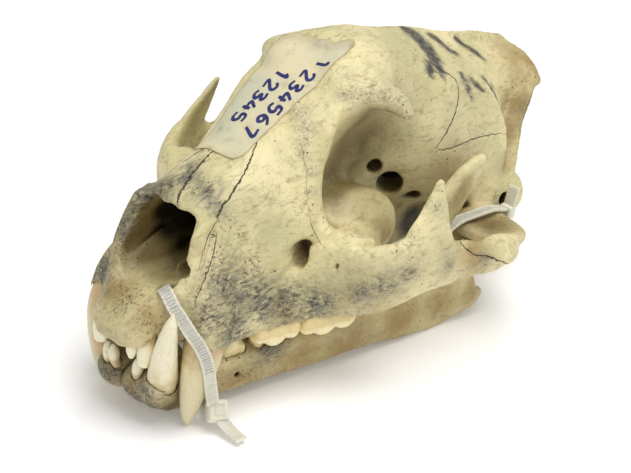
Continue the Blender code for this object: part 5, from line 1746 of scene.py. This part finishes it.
@dataclass
class Label:
    """A strip of paper glued over the bridge of the nose and the forehead, torn at its back edge.

    Its edges are rows of (y, x of its left edge, x of its right edge).
    """

    edges: Stops = field(default_factory=lambda: [
        (49.0, 3.6, -14.6), (52, 5.4, -15.2), (60, 5.8, -16.0), (68, 6.6, -16.8), (79, 8.2, -17.4),
        (88, 10.0, -17.4), (94, 9.6, -17.5), (103, 8.2, -17.5),
    ])
    # How far back the sheet goes, from its left edge to its right: (share of the way across, y).
    back_edge: Stops = field(default_factory=lambda: [
        (0, 102.2), (0.12, 102.6), (0.28, 99), (0.5, 97.4), (0.75, 95.6), (1, 94.8),
    ])
    gap: float = 0.18
    thickness: float = 0.22

    def spread(self, work: bmesh.types.BMesh, ground: BVHTree) -> None:
        """Lay a grid on the bone, torn along its back edge and lifting a little there."""
        bmesh.ops.create_grid(work, x_segments=40, y_segments=90, size=1)
        # What the paper's material reads: how far a place is from the edge, and how worn it is.
        rim = work.verts.layers.float.new("rim")
        worn = work.verts.layers.float.new("worn")
        rows = np.array(self.edges)
        for vert in work.verts:
            u, v = (vert.co.x + 1) / 2, (vert.co.y + 1) / 2
            across = 1 - u
            tear = noise.fractal(Vector((u * 9, 0.3, 2.2)), 0.8, 2.0, 4) * (0.5 + 1.6 * (across < 0.35))
            end = np.interp(across, *np.transpose(self.back_edge)) + tear
            y = rows[0, 0] + (end - rows[0, 0]) * v + 1.2 * (1 - v) * (across - 0.5) ** 2
            left, right = (np.interp(y, rows[:, 0], rows[:, k]) for k in (1, 2))
            wander = noise.noise(Vector((v * 14, 5.1, 1.7))) * 0.25
            x = left + (right - left) * across + wander
            lift = max(0.0, v - 0.93) * 14 * (0.4 + noise.noise(Vector((u * 7, v * 9, 4.4))) ** 2 * 6)
            ripple = noise.noise(Vector((x / 5, y / 7, 8.8))) * 0.12
            vert.co = lay_on(ground, x, y, self.gap + 0.15 + min(lift, 1.1) + ripple)
            width, length = left - right, rows[-1, 0] - rows[0, 0]
            vert[rim] = min(u * width, (1 - u) * width, v * length, (1 - v) * length)
            vert[worn] = max(0.0, v - 0.88) * 7 + max(0.0, 0.06 - v) * 6

    def build(self, skull: bpy.types.Object, finish: bpy.types.Material) -> bpy.types.Object:
        """Lay the paper on the skull and dress it.

        Args:
            skull: The cranium, still in the skull's frame.
            finish: The paper's material.

        Returns:
            The sheet, still in the skull's frame, so that the pen can be drawn on it.
        """
        work = bmesh.new()
        self.spread(work, surface_of(skull))
        bmesh.ops.recalc_face_normals(work, faces=work.faces)
        if sum(face.normal.z for face in work.faces) < 0:
            bmesh.ops.reverse_faces(work, faces=work.faces)
        bmesh.ops.solidify(work, geom=work.faces, thickness=self.thickness)
        piece = worked_piece(work, "paper_label", finish)
        piece.data.shade_smooth()
        return piece


# The lines of each digit, as (share of its width, share of its height).
STROKES: dict[str, list[list[tuple[float, float]]]] = {
    "1": [[(0.1, 0.8), (0.33, 1), (0.3, 0)]],
    "2": [[(0, 0.78), (0.2, 1), (0.5, 0.95), (0.55, 0.65), (0.02, 0.02), (0.62, 0.05)]],
    "3": [[(0, 0.92), (0.35, 1), (0.55, 0.78), (0.22, 0.55), (0.58, 0.35), (0.4, 0.02), (0, 0.1)]],
    "4": [[(0.3, 1), (0, 0.35), (0.62, 0.38)], [(0.48, 0.7), (0.42, 0)]],
    "5": [[(0.58, 1), (0.12, 0.97), (0.08, 0.58), (0.45, 0.6), (0.58, 0.3), (0.35, 0), (0, 0.08)]],
    "6": [[(0.5, 1), (0.12, 0.65), (0.02, 0.25), (0.3, 0), (0.56, 0.22), (0.35, 0.48), (0.06, 0.32)]],
    "7": [[(0, 0.97), (0.6, 1), (0.22, 0)]],
}


@dataclass
class PenMarks:
    """Plain digits drawn on the label in blue pen: each is (digit, x and y of its middle)."""

    digits: tuple[tuple[str, float, float], ...] = (
        ("1", 5.0, 89.5), ("2", 3.4, 84.3), ("3", 2.9, 79.3), ("4", 2.6, 74.5), ("5", 2.3, 70.0),
        ("6", 1.9, 65.2), ("7", 0.6, 60.3),
        ("1", -5.6, 81.0), ("2", -6.0, 76.4), ("3", -6.6, 71.9), ("4", -7.3, 67.6), ("5", -7.8, 63.2),
    )
    height: float = 4.9
    width: float = 1.2
    depth: float = 0.09
    thickness: float = 0.06

    def stroke(self, work: bmesh.types.BMesh, line: np.ndarray, ground: BVHTree) -> None:
        """Draw one stroke: an edge swept along its line, laid on the paper."""
        before: list[bmesh.types.BMVert] = []
        for i, point in enumerate(line):
            along = line[min(i + 1, len(line) - 1)] - line[max(i - 1, 0)]
            across = np.array([-along[1], along[0]]) / np.linalg.norm(along)
            taper = 0.75 + 0.25 * math.sin(math.pi * i / (len(line) - 1))
            pair = []
            for sign in (-1, 1):
                x, y = point + across * sign * self.width / 2 * taper
                pair.append(lay_on(ground, x, y, self.depth))
            if not before:
                before = [work.verts.new(place) for place in pair]
                edge = work.edges.new(before)
                continue
            made = bmesh.ops.extrude_edge_only(work, edges=[edge])
            edge = next(item for item in made["geom"] if isinstance(item, bmesh.types.BMEdge) and
                        all(vert in made["geom"] for vert in item.verts))
            ends = sorted(edge.verts, key=lambda vert: (vert.co - before[0].co).length)
            for vert, place in zip(ends, pair):
                vert.co = place
            before = ends

    def build(self, sheet: bpy.types.Object, finish: bpy.types.Material) -> bpy.types.Object:
        """Draw the digits on the sheet and dress them.

        Args:
            sheet: The paper, still in the skull's frame.
            finish: The ink's material.

        Returns:
            The pen marks, placed and riding.
        """
        ground = surface_of(sheet)
        work = bmesh.new()
        for digit, x, y in self.digits:
            for line in STROKES[digit]:
                fine = spline(line, 6)
                places = np.column_stack([
                    x + (fine[:, 1] - 0.5) * self.height,
                    y - (fine[:, 0] - 0.3) * self.height,
                ])
                self.stroke(work, places, ground)
        bmesh.ops.recalc_face_normals(work, faces=work.faces)
        piece = worked_piece(work, "pen_digits", finish)
        thick = piece.modifiers.new("thick", "SOLIDIFY")
        thick.thickness = self.thickness
        thick.offset = 0
        keep_evaluated(piece)
        finish_piece(piece, Slot.PAPER)
        return piece


@dataclass
class Studio:
    """A plain pale floor, soft light from above and the front, and the photograph's camera."""

    eye: Point = (396.1, -386.26, 338.74)
    back: Point = (0.55546, -0.68445, 0.47222)
    right: Point = (0.74141, 0.66479, 0.09147)
    up: Point = (-0.37653, 0.29930, 0.87672)
    focal_pixels: float = 1936.0
    image_width: float = 631.0
    floor_colour: str = "#fbfbfb"
    lamp_size: float = 0.9

    def floor(self) -> None:
        """Lay the floor."""
        work = bmesh.new()
        bmesh.ops.create_grid(work, x_segments=1, y_segments=1, size=6)
        made, _, shader = new_material("matt_white_floor")
        feed(shader, {
            "Base Color": linear(self.floor_colour),
            "Roughness": 0.9,
            "Emission Color": WHITE,
            "Emission Strength": 0.09,
        })
        floor = worked_piece(work, "floor", made)

    def lamp(self, name: str, place: Point, power: float) -> None:
        """Hang a square soft light that looks at the skull."""
        data = bpy.data.lights.new(name, "AREA")
        data.shape = "SQUARE"
        data.size = self.lamp_size
        data.energy = power
        lamp = put_in_scene(name, data)
        lamp.location = place
        lamp.rotation_euler = (Vector((0, 0, 0.05)) - Vector(place)).to_track_quat("-Z", "Y").to_euler()

    def camera(self) -> None:
        """Set the camera where the photograph was taken from."""
        data = bpy.data.cameras.new("camera")
        data.sensor_width = SENSOR
        data.lens = SENSOR * self.focal_pixels / self.image_width
        data.clip_start, data.clip_end = 0.05, 20.0
        camera = put_in_scene("camera", data)
        axes = [POSE.direction(axis) for axis in (self.right, self.up, self.back)]
        turn = Matrix([list(row) for row in zip(*axes)]).to_4x4()
        camera.matrix_world = Matrix.Translation(POSE.point(self.eye)) @ turn
        bpy.context.scene.camera = camera

    def build(self) -> None:
        """Set up the floor, the lights, the surroundings and the camera."""
        self.floor()
        self.lamp("overhead", (0.25, 0.05, 1.3), 12.8)
        self.lamp("front", (0.1, -1.3, 0.6), 1.8)
        self.lamp("right", (1.3, -0.2, 0.7), 2.0)
        world = bpy.data.worlds.new("surroundings")
        world.use_nodes = True
        feed(world.node_tree.nodes["Background"], {"Color": WHITE, "Strength": 0.44})
        bpy.context.scene.world = world
        bpy.context.scene.view_settings.view_transform = "Standard"
        self.camera()


def main() -> None:
    """Build every piece of the skull, dress it, and set up the studio."""
    bone = BoneFinish().build()
    teeth = all_teeth()
    cranium = Cranium(0.8).build(teeth, bone)
    sheet = Label().build(cranium, PaperFinish().build())
    PenMarks().build(sheet, InkFinish().build())
    finish_piece(sheet, Slot.PAPER, "label")
    finish_piece(cranium, Slot.BONE, "cranium")
    for side in Side:
        Mandible(side, 0.6).build(teeth, bone)
    enamel = EnamelFinish("tooth_enamel").build()
    yellowed = EnamelFinish("yellowed_enamel", "#d9cda6", "#ddcb9c", "#cbb080").build()
    stained = EnamelFinish("stained_enamel", "#f5e6b6", "#f0dda6", "#e0cb92").build()
    worn = EnamelFinish("worn_dentine", "#c9a878", "#d8c394", "#c2ab7c").build()
    for tooth in teeth:
        word = tooth.name
        fang = yellowed if word.startswith("upper_canine") else enamel
        tooth.build(worn if word == "lower_canine_right" else stained if "molar" in word else fang)
    nylon = NylonFinish().build()
    for strap in TIES:
        strap.build(nylon)
    Studio().build()


if __name__ == "__main__":
    main()
